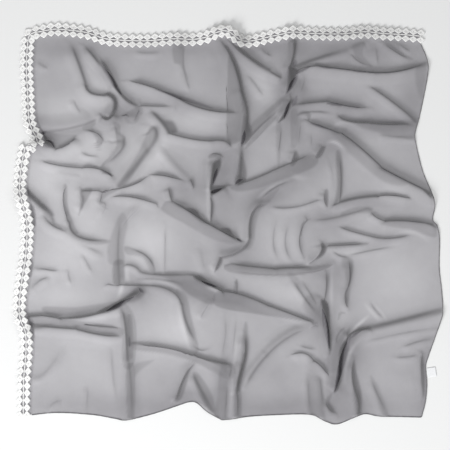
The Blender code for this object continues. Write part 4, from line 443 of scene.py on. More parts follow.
DOUBLED_AND_SHADED = [DoubledAndShaded(*row) for row in (
    # upper left
    (0.34, 0.3, [(-33.3, 14.3), (-31.9, 13.8), (-30.2, 13.1), (-30.3, 12.5), (-32, 13), (-33.4, 13.6)]),
    (0.12, 0.9, [(-49.5, 25), (-43, 25.1), (-36, 27.5), (-35.3, 24.4), (-42, 23.3), (-48, 23.3)]),
    (0.24, 0.3, [(-48.4, 24.5), (-42.9, 25.2), (-38.2, 26.3), (-35.1, 27.6), (-35, 27), (-38.2, 25.6),
        (-43, 24.5), (-48.4, 23.7)]),
    (0.2, 0.4, [(-38.2, 25.8), (-35.1, 27.3), (-34.9, 26.2), (-35.6, 25.3), (-35, 24), (-38, 24.4)]),
    (0.28, 0.4, [(-30.4, 26.7), (-28.6, 26.2), (-28.3, 23.8), (-27.1, 22.8), (-27.7, 20.8),
        (-29.9, 18.2), (-32.5, 15.6), (-33.5, 15), (-33, 16.2), (-30.9, 18.3), (-29.6, 20.5),
        (-29.6, 22.7), (-30, 24.7)]),
    (0.16, 0.4, [(-35.1, 23.7), (-32.8, 22.6), (-33.3, 20.8), (-33.6, 19.2), (-34.6, 19.5), (-35, 21),
        (-34.4, 22.4)]),
    (0.26, 0.8, [(-29.4, 28), (-26.2, 29.8), (-23.2, 31), (-23, 28.4)]),
    (0.2, 0.8, [(-27.4, 28.3), (-23.4, 28.4), (-24.6, 26.2), (-27, 26.5)]),
    (0.28, 0.7, [(-37, 25), (-34.2, 24.1), (-32.6, 22), (-34.5, 19.8), (-34.9, 21.8), (-35.6, 23.4)]),
    (0.3, 0.9, [(-20.8, 25.6), (-18.6, 23.7), (-21.8, 18.3), (-26.4, 11), (-29.4, 10), (-24.2, 18.4)]),
    (0.62, 1.2, [(-20.8, 30), (-17.4, 27.7), (-14.6, 27), (-13.4, 24.3), (-15.6, 23.6), (-17.2, 25.6)]),
    (0.64, 0.9, [(-50, 25), (-46.4, 22.3), (-45.4, 19.9), (-48.6, 20.3), (-48.2, 22.4)]),
    (0.24, 0.6, [(-45, 19.6), (-39.6, 23.3), (-44, 23.6), (-48.5, 24.4), (-46.2, 22)]),
    # upper middle
    (0.28, 0.3, [(20.8, 41.5), (19.3, 40.8), (17.3, 39.7), (17.5, 39.1), (19.6, 40.1), (20.9, 40.9)]),
    (0.3, 0.7, [(-14.9, 47), (-11.8, 47), (-12, 42.8), (-10.8, 37.5), (-13, 41.3), (-14.7, 42.3)]),
    (0.36, 0.7, [(-0.4, 44), (1.6, 42), (3.4, 37), (4.1, 28), (3, 22), (-0.7, 21.6), (-1, 30),
        (-0.8, 38)]),
    (0.71, 0.9, [(3.5, 28), (4.5, 27.6), (5.9, 23.7), (3.3, 20.4), (2.8, 21.6)]),
    (0.59, 0.9, [(2.7, 19), (3.5, 18), (4.5, 13.5), (3.8, 11), (1.2, 10.3), (1.8, 14.5)]),
    (0.44, 0.8, [(1.6, 13), (4, 12.4), (3.8, 11), (1.2, 10.2)]),
    (0.82, 0.7, [(-4.6, 15.8), (-2.5, 17.3), (-2.4, 15), (-3.6, 12), (-5.1, 9.8), (-5, 13)]),
    (0.4, 0.7, [(-5.3, 18.5), (-2.6, 18.9), (-1.9, 16.8), (-2.6, 15), (-3.5, 17.3), (-5.6, 17.2)]),
    (0.92, 0.8, [(15.1, 41), (17.8, 40.2), (17.4, 38.6), (16, 36), (14.5, 33.8), (14.8, 36.6)]),
    (0.92, 0.7, [(16.4, 32.8), (15.7, 30.8), (14.5, 27.9), (12.4, 26.5), (13.9, 29), (14.6, 31.2)]),
    (0.32, 0.9, [(3.8, 22), (5.9, 23.4), (10.6, 28.5), (15, 33.2), (13.5, 33.4), (9, 29.6), (5.2, 26)]),
    (0.32, 0.5, [(4.8, 20.1), (12, 27.6), (10.6, 27.7), (4.4, 21)]),
    (0.24, 0.6, [(15.8, 29.5), (17.8, 29.3), (17.6, 21), (15.8, 21)]),
    (0.2, 0.6, [(11.9, 27), (13.3, 26.5), (13.1, 16), (12.2, 16)]),
    (0.34, 0.8, [(0.5, 10.2), (10.5, 14.3), (22, 18.5), (22, 15), (12, 11), (7, 9.3), (2, 8.6)]),
    (0.56, 0.7, [(15.6, 15.8), (17, 19.4), (18, 17.6), (16.6, 15.4)]),
    (0.34, 0.5, [(0.2, 45.4), (2.2, 42), (3.3, 37), (3.9, 31), (4.6, 27.4), (3.6, 27.4), (2.8, 32),
        (2.2, 37)]),
    (0.22, 0.8, [(15.2, 48), (17.4, 48), (17, 44), (16.4, 40.6), (15, 40.4), (15, 44)]),
    # upper right
    (0.28, 0.3, [(25.1, 32), (26.9, 31.7), (28.9, 31.3), (28.9, 30.7), (26.9, 30.9), (25.1, 31.3)]),
    (0.24, 0.7, [(31.7, 47), (35.2, 47.5), (34.6, 44.5), (37.2, 41.1), (34.5, 41.7), (32.4, 43.8)]),
    (0.26, 0.7, [(39.8, 48), (43, 48), (44.8, 45.2), (47.7, 43.2), (46, 42.9), (43.2, 44.6)]),
    (0.24, 1.2, [(48, 41), (51.4, 42.5), (50.8, 36), (49.8, 32.5), (48.2, 36)]),
    (0.26, 0.9, [(28.7, 27.6), (40, 27), (47.5, 27), (48, 22.5), (44, 22.4), (36, 24.5), (32.4, 25.8)]),
    (0.24, 0.9, [(25.5, 24.5), (30, 23), (36, 17), (46, 10.7), (40, 11), (31, 18.3), (29.3, 20.6)]),
    (0.64, 0.7, [(22.2, 17.5), (23.7, 17.6), (25, 20.5), (23.2, 19.9)]),
    (0.4, 0.5, [(17.5, 28.4), (18.3, 29.6), (20.4, 29.6), (21.1, 28.3), (20.4, 26.9), (19.5, 28.5)]),
    (0.46, 0.8, [(27.4, 19), (29.2, 18), (29.4, 9.5), (28.6, 6.5), (26.8, 5), (27.6, 10)]),
    # left
    (0.44, 1.2, [(-53, 9.9), (-50, 6.6), (-46.1, 3.8), (-45.5, -0.3), (-47.6, 2.4), (-51.8, 7.2)]),
    (0.5, 0.5, [(-52, 5.4), (-50.9, 5), (-50.3, 2.5), (-50.6, -0.5), (-51.6, -1), (-51.9, 2)]),
    (0.36, 0.5, [(-52.6, -8.5), (-51.4, -8.8), (-51, -11.5), (-51.6, -13.5), (-52.6, -13)]),
    (0.45, 0.5, [(-52.4, -24), (-51.2, -24.5), (-50.6, -27.5), (-51, -30), (-52, -30)]),
    (0.42, 0.7, [(-38.8, 9.3), (-35.6, 9.3), (-37.9, 5), (-39.4, 2.3), (-39, 6)]),
    (0.28, 0.7, [(-32, 9.5), (-28.8, 9.2), (-32.4, 7), (-33, 5.4), (-31.2, 3.8), (-34.6, 5.6),
        (-33.8, 8)]),
    (0.24, 0.9, [(-28.4, 3.2), (-26.4, 1), (-27.4, -5), (-27.4, -10), (-31.6, -10), (-31.4, -4)]),
    (0.4, 0.7, [(-30.3, -9.6), (-27.5, -9.4), (-27.5, -15.2), (-30.3, -15.4)]),
    (0.3, 0.6, [(-27, -5.3), (-20.7, -8.4), (-19.2, -12.6), (-20.7, -12.4), (-22.8, -8.6), (-27, -7.6)]),
    (0.34, 0.8, [(-20, -12.4), (-9, -12), (-5, -15.8), (-3.8, -17.4), (-4.6, -20.8), (-10, -18.6),
        (-15, -14.7)]),
    (0.82, 0.8, [(-34.5, -22.5), (-29.4, -19.8), (-27.1, -19.2), (-28.6, -21.5), (-32, -22.9)]),
    (0.46, 1.2, [(-27.6, -19.8), (-24.2, -15.9), (-22.2, -16.2), (-21.9, -18), (-25, -20.2)]),
    (0.28, 0.8, [(-48.5, -21.1), (-40, -21.2), (-30, -19.8), (-34, -22), (-44, -23.9), (-48, -23.2)]),
    (0.3, 0.6, [(-53, -23.4), (-43, -24.3), (-28.4, -26.5), (-28.4, -28.8), (-41, -26.5), (-53, -26)]),
    (0.26, 0.7, [(-45.5, 0.5), (-42, -0.5), (-40.5, -2.2), (-36, -3.4), (-31.5, -3.7), (-31.5, -4.8),
        (-36, -5.2), (-41, -3.4)]),
    (0.3, 0.6, [(-43.3, 10), (-42.2, 10), (-42, 5), (-40.3, 0), (-39.3, -2.2), (-41.2, -2), (-42.8, 2)]),
    # centre
    (0.3, 0.8, [(-18, 4.6), (-15, 6.2), (-5, 0.2), (3.2, -4.3), (-3, -4.5), (-12, 0.3), (-17, 3)]),
    (0.77, 0.8, [(-11.6, 4.3), (-8.8, 4.1), (-7, 1.5), (-5.4, 0.2), (-8, 1)]),
    (0.71, 0.8, [(-2.4, -0.9), (-0.2, -0.7), (1.2, -2.6), (3.7, -4.4), (1.4, -4), (-1, -2.4)]),
    (0.66, 0.7, [(-5, 10.2), (-0.8, 10.2), (-3.2, 8.7), (-4.7, 7.8)]),
    (0.3, 0.7, [(5.4, -3.6), (5.2, -5.4), (2.8, -7.3), (-1.5, -9), (-3.2, -8.4), (-1, -7.3), (3, -5.5)]),
    (0.59, 0.7, [(-2.8, -8.3), (-1.8, -9), (-2.4, -10.8), (-4.1, -12.4), (-3.6, -10)]),
    (0.24, 0.6, [(6.4, 4.6), (9, 7.2), (13, 9.6), (9.6, 5.2)]),
    (0.59, 0.6, [(21, 1.7), (19.2, 0), (18.6, -3), (18.2, -1.2), (18.9, 0.8)]),
    (0.36, 0.4, [(-0.6, -10), (10.5, -10.9), (21, -10.6), (26.8, -10.2), (22, -12.4), (12, -13.4),
        (0, -12.3)]),
    (0.85, 0.5, [(-9.5, -13.2), (-7.8, -13.3), (-5, -15), (-2, -16.6), (-2.2, -17.1), (-8, -14.8)]),
    (0.36, 0.5, [(-3.6, -17.2), (1.6, -17.3), (15.6, -22.4), (21.8, -25.1), (8, -23.4), (-3.6, -21.2)]),
    (0.42, 0.5, [(1.1, -15), (1.9, -14), (2, -17.6), (0.9, -17.4)]),
    (0.26, 0.8, [(9.8, 5.6), (6.8, 4.6), (5.2, 1), (4.9, -4), (3.2, -5.6), (4.6, -6.6), (6.2, -5),
        (6.9, 0), (8, 3.6)]),
    # right
    (0.28, 0.9, [(29, 3.4), (33, 5), (37, 4.6), (36.5, 3), (33, 3), (29, 2.2)]),
    (0.44, 0.5, [(24.5, 9), (25.6, 9), (25.5, 4.8), (24.7, 5.4)]),
    (0.28, 0.8, [(39, 1), (46, 1), (52.8, 0.3), (53.8, -1), (53.2, -3.4), (47, -1.4), (40, -0.2)]),
    (0.71, 0.7, [(23.6, -4.4), (25.1, -5.6), (25, -7), (23.8, -8.4), (22.2, -9), (23.4, -6.8)]),
    (0.28, 0.9, [(28.8, -8.8), (32, -8.8), (31.6, -15), (30.9, -20), (29.6, -19.8), (29.9, -14)]),
    (0.92, 0.6, [(23.4, -19.5), (25.5, -20.5), (26.1, -27), (26.3, -32.5), (25.4, -31.5), (24.7, -25)]),
    (0.26, 1.2, [(21, -17.5), (24.2, -19), (24.8, -26.5), (22.5, -25.4), (18.6, -21)]),
    (0.28, 0.6, [(24.6, -4.6), (28, -4.6), (35.5, -4.4), (35.5, -5.2), (30.5, -5.9), (25.3, -6.3)]),
    (0.22, 0.8, [(14.6, -12.6), (17, -12.8), (21, -18.5), (24.2, -24.5), (22.4, -23.5), (18, -17.5)]),
    (0.24, 1, [(30.5, -27.8), (36, -25.8), (44, -23.8), (54.6, -21.4), (54.6, -23.4), (44, -26),
        (36, -28), (31.5, -30.2)]),
    # lower left
    (0.28, 0.6, [(-28.8, -20.4), (-27, -20), (-24.4, -25), (-24.4, -34), (-26, -37.5), (-28, -36),
        (-28, -28)]),
    (0.34, 0.6, [(-26.9, -24), (-25.4, -24), (-25, -33.6), (-26.3, -34)]),
    (0.3, 0.5, [(-26.9, -36.8), (-24.7, -36.8), (-24.8, -50.2), (-26.7, -50.2)]),
    (0.24, 1, [(-24.8, -36), (-19.5, -35), (-23.3, -38), (-24.8, -39.5)]),
    # lower middle
    (0.4, 0.7, [(-11.4, -37.6), (-10.4, -38), (-12.4, -45), (-14.4, -45.2)]),
    (0.24, 0.5, [(-25, -30.2), (-17, -30.9), (0.3, -35.6), (-0.2, -40.2), (-9, -35.8), (-17, -33.5),
        (-25, -32.4)]),
    (0.26, 0.6, [(-14.3, -16.8), (-11.4, -18), (-9.9, -24), (-8, -32.4), (-10.6, -31.7), (-12.6, -22)]),
    (0.36, 0.9, [(3.5, -26), (4.7, -26), (4.8, -34), (3.2, -42), (1.4, -43.5), (2.4, -36)]),
    (0.52, 0.6, [(3.3, -33.6), (4.4, -33.6), (2.7, -41), (1.7, -42), (2.2, -39)]),
    (0.32, 0.6, [(1.1, -42.5), (3, -42.5), (2.9, -50), (1.1, -50)]),
    (0.26, 0.7, [(-9.7, -38.4), (-8, -38.6), (-4.6, -44), (-3.8, -48.8), (-6.2, -47.2), (-8.7, -43)]),
    (0.24, 0.8, [(-2.6, -36.5), (-0.6, -36.8), (-0.8, -50.4), (-4, -49.4), (-3.4, -44)]),
    # lower right
    (0.4, 0.35, [(29.7, -26.5), (28.2, -27.5), (27.5, -28.9), (27.4, -30.8), (27.9, -30.8),
        (28.1, -29.2), (28.8, -28), (29.9, -27)]),
    (0.22, 0.3, [(29.9, -22.6), (28.3, -22.7), (28, -24.7), (28.5, -24.6), (28.9, -23.3), (30, -23)]),
    (0.9, 0.6, [(36.4, -26.3), (31.5, -28.4), (29.9, -31.5), (28.6, -41), (27, -43.4), (28, -37),
        (29, -30.6)]),
    (0.46, 0.7, [(32.3, -34.4), (32.9, -38), (34.2, -43), (34.2, -49), (32.7, -49), (31.7, -42),
        (31.5, -38)]),
    (0.34, 0.7, [(26.9, -43.3), (25.2, -44.6), (24.7, -46.4), (26, -48.1), (27.8, -49), (26.7, -47.2),
        (26, -46), (26.5, -44.6)]),
    (0.42, 0.7, [(49.4, -34), (50.4, -34.4), (50.8, -38), (50.7, -43), (50.2, -44.5), (49.8, -40),
        (49.3, -37)]),
    (0.2, 0.7, [(36.3, -39.5), (38.2, -41), (41.4, -49.2), (39.4, -49.2)]),
    (0.24, 2.4, [(19.8, -35), (22.3, -35.5), (25, -43), (25.3, -50), (20.3, -49.6)]),
)]

# Where a deep fold holds more layers of the cloth, one more lies on the surface under it, coloured nearly
# black as painted shade in the fold's core: the smooth line through the layer's start, middle and end
# places in cm, and half its width in cm.
UnderLayer = namedtuple("UnderLayer", "x0 y0 x1 y1 x2 y2 wide")

UNDER_LAYERS = [UnderLayer(*row) for row in (
    (31.4, -28.6, 29.4, -34.8, 27.1, -43.8, 0.85), (34, -27.6, 32.5, -28.6, 31.2, -29.6, 0.3),
    (24, -21.8, 24.9, -26.4, 25.8, -32.1, 0.72), (-24.9, -18.6, -28.8, -20.8, -32.2, -22.4, 0.62),
    (-23.8, -16.2, -23.1, -17, -22.4, -17.8, 0.36), (17.7, 38.8, 16.3, 36.8, 14.8, 34.2, 0.66),
    (3.8, 24.6, 3.5, 22.6, 2.9, 20.4, 0.5), (15.6, 32.2, 14.7, 29.9, 14, 27.4, 0.4),
    (-5.2, 8.3, -3.9, 8.8, -2, 9.5, 0.46), (1.4, 10.6, 2.2, 11.4, 3.4, 11.9, 0.4),
    (-3.3, 14.8, -3.8, 12.8, -4.5, 10.4, 0.42), (-7.4, -14.6, -5.6, -15.4, -3.2, -16.1, 0.32),
    (-19.8, 35.3, -11.5, 32.7, -4.4, 30.3, 0.5), (-33.5, 41.6, -30.5, 37.2, -28.2, 33.9, 0.72),
    (17.4, 33.7, 16.8, 32.2, 16.2, 30.8, 0.62), (20.8, 26.4, 23.2, 25.7, 25.4, 24.9, 0.34),
    (17.3, 42.9, 16.9, 42, 16.5, 41.1, 0.5), (25, 31.7, 26.9, 31.3, 29, 31, 0.28),
    (20.9, 41.2, 19, 40.2, 17.2, 39.3, 0.34), (23.5, 41, 25.1, 40.8, 26.9, 40.6, 0.26),
    (-33.3, 14, -31.9, 13.4, -30.3, 12.8, 0.28), (-26.2, -28.8, -26.1, -30.3, -26.1, -31.8, 0.3),
    (32, 40, 33.8, 39.8, 35.6, 39.6, 0.22), (1.7, -3.5, 2.5, -4, 3.2, -4.3, 0.28),
    (-47.9, 22, -46.3, 21.4, -45.7, 19.8, 0.3), (-49.4, 23.5, -48.4, 24, -47.5, 24.4, 0.36),
)]

# Thin painted highlights on light ridges, where the cloth turns up to the light: the smooth line through
# the start, middle and end places in cm, half its width in cm, and how much lighter it is painted.
Ridge = namedtuple("Ridge", "x0 y0 x1 y1 x2 y2 wide tone")

RIDGES = [Ridge(*row) for row in (
    (-5.7, 17, -5.8, 9, -5.6, 1, 0.55, 0.7), (7, 6.6, 10.5, 9.6, 15, 11.4, 0.45, 0.6),
    (5, 21.6, 8.4, 25.2, 12.2, 29, 0.55, 0.4), (25.4, 21.4, 27.6, 21.3, 29.8, 19.2, 0.42, 1),
    (26.5, 25.2, 30, 26.6, 34, 24.6, 0.55, 0.4), (43, -2.3, 47.5, -1.9, 51.2, -4, 0.55, 0.5),
    (26.5, -5.8, 30.5, -7.4, 44, -4.9, 0.55, 0.4), (-6.2, -15.9, -4.4, -16.7, -2.2, -17.2, 0.55, 0.8),
    (-28, -14.2, -28.2, -16.5, -29.2, -19.2, 0.55, 0.8), (-26.8, -10.8, -26.9, -13, -26.2, -15, 0.6, 0.6),
    (-23, -14.8, -17, -14.9, -11.8, -18.2, 0.55, 0.7),
    (-13.5, -19.5, -12.6, -25, -10.3, -31.2, 0.55, 0.5),
    (-27.7, -21.5, -27.3, -27, -27.2, -33, 0.55, 0.5), (26.5, -11, 26.3, -18, 26.7, -27, 0.5, 0.5),
    (33.5, -30.2, 30.9, -34, 29.6, -41, 0.55, 0.7), (24.4, -38.5, 24.6, -43, 25.3, -49.2, 0.55, 0.4),
    (0.6, -37, 0.5, -42, 0, -50, 0.55, 0.6), (1.5, -28, 1.4, -33, 0.9, -36.5, 0.55, 0.5),
    (-39, -24.6, -34, -24.1, -28.9, -23.2, 0.8, 0.6), (-4.4, -9.6, -4.7, -12, -2.6, -14, 0.55, 0.3),
    (16.2, 13, 17.6, 12.4, 20, 12.2, 0.8, 0.5), (37, -20.1, 38.9, -22.4, 40.6, -24.6, 0.35, 0.6),
    (35, -20.5, 36.9, -22.7, 38.7, -24.7, 0.4, 0.5), (35.9, -23.7, 32.8, -26.5, 29.7, -29.6, 0.48, 1.1),
)]


# ---- curves in the plane, cm ----


def smooth_line(places, steps=CURVE_STEPS):
    """A Catmull-Rom curve through the places, as an array of points."""
    table = np.array(places, dtype=float)
    padded = np.vstack([2 * table[0] - table[1], table, 2 * table[-1] - table[-2]])
    t = np.linspace(0, 1, steps, endpoint=False)[:, None]
    runs = []
    for before, start, end, after in zip(padded, padded[1:], padded[2:], padded[3:]):
        bend = 2 * before - 5 * start + 4 * end - after
        twist = 3 * (start - end) + after - before
        runs.append(0.5 * (2 * start + (end - before) * t + bend * t**2 + twist * t**3))
    return np.vstack(runs + [table[-1:]])


def distances_along(line):
    """How far along the line each of its points is."""
    return np.concatenate([[0], np.cumsum(np.linalg.norm(np.diff(line, axis=0), axis=1))])


def resample(wanted, at, values):
    """What the values given at some distances are at the wanted ones."""
    if values.ndim == 1:
        return np.interp(wanted, at, values)
    return np.column_stack([np.interp(wanted, at, column) for column in values.T])


def even_stations(places, cells):
    """cells + 1 points spread evenly along the smooth line through the places."""
    line = smooth_line(places)
    travelled = distances_along(line)
    return resample(np.linspace(0, travelled[-1], cells + 1), travelled, line)


def unit(vectors):
    return vectors / np.linalg.norm(vectors, axis=-1, keepdims=True)


def leftward(along):
    """Directions at a right angle to the given ones, on their left hand."""
    return np.column_stack([-along[:, 1], along[:, 0]])


def inward_at(stations, square_on):
    """Directions into the scarf at the stations, half way between square on and across the line."""
    across = leftward(unit(np.gradient(stations, axis=0)))
    across *= np.sign(across @ np.array(square_on))[:, None]
    inward = unit(across + np.array(square_on))
    inward[0] = square_on
    return inward


def near_box(points, places, reach):
    """Which points are in the box round the places, or nearer to it than the reach."""
    near = (points > places.min(axis=0) - reach) & (points < places.max(axis=0) + reach)
    return np.flatnonzero(near.all(axis=1))


# ---- folds ----


def ease(value, start=0, reach=1):
    """0 up to the start, 1 from start + reach on, and a smooth rise in between."""
    share = np.clip((value - start) / reach, 0, 1)
    return share * share * (3 - 2 * share)


def bell(squared, reach=1):
    """1 at no distance, dying away over the reach, from the distance squared."""
    return np.exp(-squared / reach**2)


def taper(steps, end):
    """Widths from one end to the other, 1 in the middle, with a share cut off at either end."""
    return np.sin(math.pi * np.linspace(end, 1 - end, steps + 1))


def fold_line(fold, steps=FOLD_STEPS):
    """Points along the curve of a fold's crest."""
    start, middle, end = np.array(fold[:6]).reshape(3, 2)
    t = np.linspace(0, 1, steps + 1)[:, None]
    control = 2 * middle - (start + end) / 2
    return (1 - t) ** 2 * start + 2 * t * (1 - t) * control + t * t * end


def fold_form(fold, line, points):
    """Height in mm, sideways shift in cm and share of painted shade that one fold gives to each point."""
    step = np.diff(line, axis=0)
    offset = points[:, None, :] - line[None, :-1, :]
    share = np.clip((offset * step).sum(2) / (step * step).sum(1), 0, 1)
    gap = offset - share[:, :, None] * step
    nearest = np.linalg.norm(gap, axis=2).argmin(axis=1)
    row = np.arange(len(points))
    gap, along = gap[row, nearest], unit(step[nearest])
    left = leftward(along)
    travelled = (nearest + share[row, nearest]) / FOLD_STEPS
    body = np.minimum(1, fold.first + (1 - fold.first) * ease(travelled, 0, END_SHARE))
    body *= np.minimum(1, fold.last + (1 - fold.last) * ease(1 - travelled, 0, END_SHARE))
    lean = fold.lean * body
    beside, beyond = (gap * left).sum(1), (gap * along).sum(1)
    across = beside + lean + CREST_BACK * fold.steep * (1 - ease(fold.lean, *CREST_LEAN))
    reach = np.where(across > 0, fold.steep * (1 + STEEP_WIDENS * fold.lean), fold.wide)
    distance = np.hypot(across, beyond) / reach
    share = ease(1 - distance)
    skirt = ease(1 - distance / SKIRT_REACH)
    flat = 1 - FALLEN_FLATTER * ease(fold.lean, *FLATTER_LEAN)
    height = fold.height * flat * body * ((1 - SKIRT_SHARE) * share + SKIRT_SHARE * skirt)
    shade = painted_fold_shade(fold, body, beside + lean * share, beyond)
    return height, (lean * share)[:, None] * left, shade


def painted_fold_shade(fold, body, landed, beyond):
    """How much painted shade the cloth has that lands beside a fold's line, from 0 to 1."""
    fell = ease(fold.lean, *SHADE_LEAN)
    depth = np.clip((fold.height * body / DEEPEST_FOLD) ** DEPTH_POWER, 0, 1)
    depth = depth * (1 - (1 - FALLEN_SHADE) * fell)
    away = landed**2 + beyond**2
    side = np.where(landed > 0, SOFT_LEFT, SOFT_RIGHT)
    soft = SOFT_SHARE * bell(away, SOFT_REACH + fold.steep * side)
    crisp = ease(fold.height, *CRISP_HEIGHT) * bell(away, CRISP_REACH + CRISP_STEEP * fold.steep)
    broad = BROAD_SHARE * ease(fold.height, *BROAD_HEIGHT) * bell(away, BROAD_REACH)
    tail = TAIL_SHARE * fell * ease(1 + landed / TAIL_REACH) * (landed < 0)
    tail = tail * ease(1 - np.abs(beyond) / TAIL_END)
    return depth * np.maximum(np.maximum(soft, crisp), np.maximum(broad, tail))


def cloth_form(points):
    """Height in mm, sideways shift in cm and share of painted shade at the cloth's resting points."""
    total, pull, painted_dark = np.zeros(len(points)), np.zeros((len(points), 2)), np.zeros(len(points))
    for fold in FOLDS:
        line = fold_line(fold)
        near = near_box(points, line, max(fold.wide, fold.steep) * SKIRT_REACH + fold.lean)
        height, shift, shade = fold_form(fold, line, points[near])
        total[near] += height**JOIN
        pull[near] += (height**JOIN)[:, None] * shift
        painted_dark[near] += shade**JOIN
    return total ** (1 / JOIN), pull / np.maximum(total, 1e-9)[:, None], painted_dark ** (1 / JOIN)


def inside_depth(points, outline):
    """How far inside a closed smooth outline the points are, in cm, and less than nothing outside it."""
    corners = np.array(list(outline) + list(outline[:3]), dtype=float)
    start = smooth_line(corners, OUTLINE_STEPS)[OUTLINE_STEPS:-OUTLINE_STEPS]
    edge = np.roll(start, -1, axis=0) - start
    edge = np.where(np.abs(edge) < 1e-9, 1e-9, edge)
    away = points[:, None, :] - start
    share = np.clip((away * edge).sum(2) / (edge * edge).sum(1), 0, 1)
    depth = np.linalg.norm(away - share[:, :, None] * edge, axis=2).min(axis=1)
    end_y = start[:, 1] + edge[:, 1]
    crossing = (away[:, :, 1] < 0) != (points[:, None, 1] < end_y)
    crossing &= away[:, :, 0] < away[:, :, 1] * edge[:, 0] / edge[:, 1]
    return np.where(crossing.sum(axis=1) % 2 == 1, depth, -depth)


def doubled_and_painted_shade(places):
    """How darkened each place is by the table of doubled cloth and painted shade, from 0 to 1."""
    points = places[:, :, :2].reshape(-1, 2)
    light = np.ones(len(points))
    for area in DOUBLED_AND_SHADED:
        near = near_box(points, np.array(area.outline), 1)
        depth = inside_depth(points[near], area.outline)
        light[near] *= 1 - area.shade * ease(OUTLINE_START + depth / area.soft)
    return 1 - light.reshape(places.shape[:2])


def ridge_highlight(places):
    """How much painted highlight each place gets from the table of ridges."""
    points = places[:, :, :2].reshape(-1, 2)
    tone = np.zeros(len(points))
    for ridge in RIDGES:
        line = fold_line(ridge, RIDGE_STEPS)
        near = near_box(points, line, 2)
        gap = np.linalg.norm(points[near, None, :] - line, axis=2)
        share = taper(RIDGE_STEPS, RIDGE_END)[gap.argmin(axis=1)]
        tone[near] += ridge.tone * share * bell((gap.min(axis=1) / ridge.wide) ** 2)
    return tone.reshape(places.shape[:2])


def patch_sum(places, patches):
    """The tones of all the patches that reach each place."""
    tone = np.zeros(places.shape[:-1])
    for patch in patches:
        turn = math.radians(patch.turn)
        x, y = places[..., 0] - patch.x, places[..., 1] - patch.y
        along = (x * math.cos(turn) + y * math.sin(turn)) / patch.reach_x
        across = (y * math.cos(turn) - x * math.sin(turn)) / patch.reach_y
        tone += patch.tone * bell(along**2 + across**2)
    return tone


def calm(height, times=EDGE_CALM):
    """Heights along an edge, evened out because a sewn edge is stiffer than the cloth."""
    for _ in range(times):
        inner = (height[:-2] + 2 * height[1:-1] + height[2:]) / 4
        height = np.concatenate([height[:1], inner, height[-1:]])
    return height


# ---- the lace's runs ----


class EdgeRun:
    """A stretch of the lace's middle line, measured in stations from its start."""

    def __init__(self, middle, inward, height, cells):
        self.middle, self.inward, self.height, self.cells = middle, inward, height, cells

    def sample(self, values, station):
        place = np.clip(station / self.cells, 0, 1) * (len(values) - 1)
        return resample(place, np.arange(len(values)), values)

    def plan(self, station, across_cm):
        """Places beside the run, in cm, straight on beyond its two ends."""
        per_station = (len(self.middle) - 1) / self.cells
        before, after = np.minimum(station, 0), np.maximum(station - self.cells, 0)
        beyond = before[:, None] * (self.middle[1] - self.middle[0]) * per_station
        beyond += after[:, None] * (self.middle[-1] - self.middle[-2]) * per_station
        inward = unit(self.sample(self.inward, station))
        return self.sample(self.middle, station) + beyond + np.asarray(across_cm)[..., None] * inward

    def lift(self, station):
        """Height in mm of the cloth under the run."""
        return self.sample(self.height, station)

    def beside(self, across_cm, cells):
        """cells + 1 places with heights along the whole run, at one distance from its middle line."""
        at = np.linspace(0, self.cells, cells + 1)
        return np.column_stack([self.plan(at, across_cm), self.lift(at)])


def lace_run(places, cells, square_on):
    coarse = even_stations(places, cells)
    inner = coarse + STRIP_INNER * inward_at(coarse, square_on)
    height = calm(cloth_form(inner)[0])
    fine = even_stations(places, cells * STATION_POINTS)
    height = np.interp(np.arange(len(fine)) / STATION_POINTS, np.arange(cells + 1), height)
    return EdgeRun(fine, inward_at(fine, square_on), calm(height, FINE_CALM), cells)


def corner_run():
    angles = np.radians(np.linspace(90, 180, CORNER_CELLS * STATION_POINTS + 1))
    outward = np.column_stack([np.cos(angles), np.sin(angles)])
    middle = np.array(LACE_CORNER) + STRIP_INNER * outward
    return EdgeRun(middle, -outward, np.zeros(len(angles)), CORNER_CELLS)


DOWN, RIGHT = (0, -1), (1, 0)
TOP_RUN = lace_run(LACE_TOP, TOP_CELLS, DOWN)
CORNER_RUN = corner_run()
UPPER_RUN = lace_run(LACE_UPPER_LEFT, UPPER_LEFT_CELLS, RIGHT)
LOWER_RUN = lace_run(LACE_LOWER_LEFT, LOWER_LEFT_CELLS, RIGHT)
LINK_RUN = lace_run(LACE_LINK, LINK_CELLS, DOWN)


# ---- the sheet ----


def left_edge(across_cm):
    """Places and heights down the left side at one distance from the lace's middle line."""
    upper = UPPER_RUN.beside(across_cm, UPPER_ROWS)
    lower = LOWER_RUN.beside(across_cm, LOWER_ROWS)
    share = np.linspace(0, 1, PLEAT_ROWS + 1)[1:-1, None]
    return np.vstack([upper, (1 - share) * upper[-1] + share * lower[0], lower])


def top_edge(across_cm):
    return TOP_RUN.beside(across_cm, COLUMNS)


def rounded_corner():
    """The grid of places under the lace's rounded corner, from the outside in."""
    share = np.linspace(1, 0, STRIP_ROWS + 1)[:-1]
    up, left = np.meshgrid(share, share, indexing="ij")
    radius = STRIP_INNER + STRIP_OUTER
    x = LACE_CORNER.x - radius * left * np.sqrt(1 - up**2 / 2)
    y = LACE_CORNER.y + radius * up * np.sqrt(1 - left**2 / 2)
    return np.dstack([x, y, np.zeros_like(x)])


def soft_waves(plan):
    """A gentle unevenness from 0 to 1 over the cloth."""
    values = [
        sum(share * noise.noise(Vector((x / long, y / high, at))) for share, long, high, at in WAVES)
        for x, y in plan.reshape(-1, 2)
    ]
    return np.clip(0.5 + np.array(values), 0, 1).reshape(plan.shape[:2])


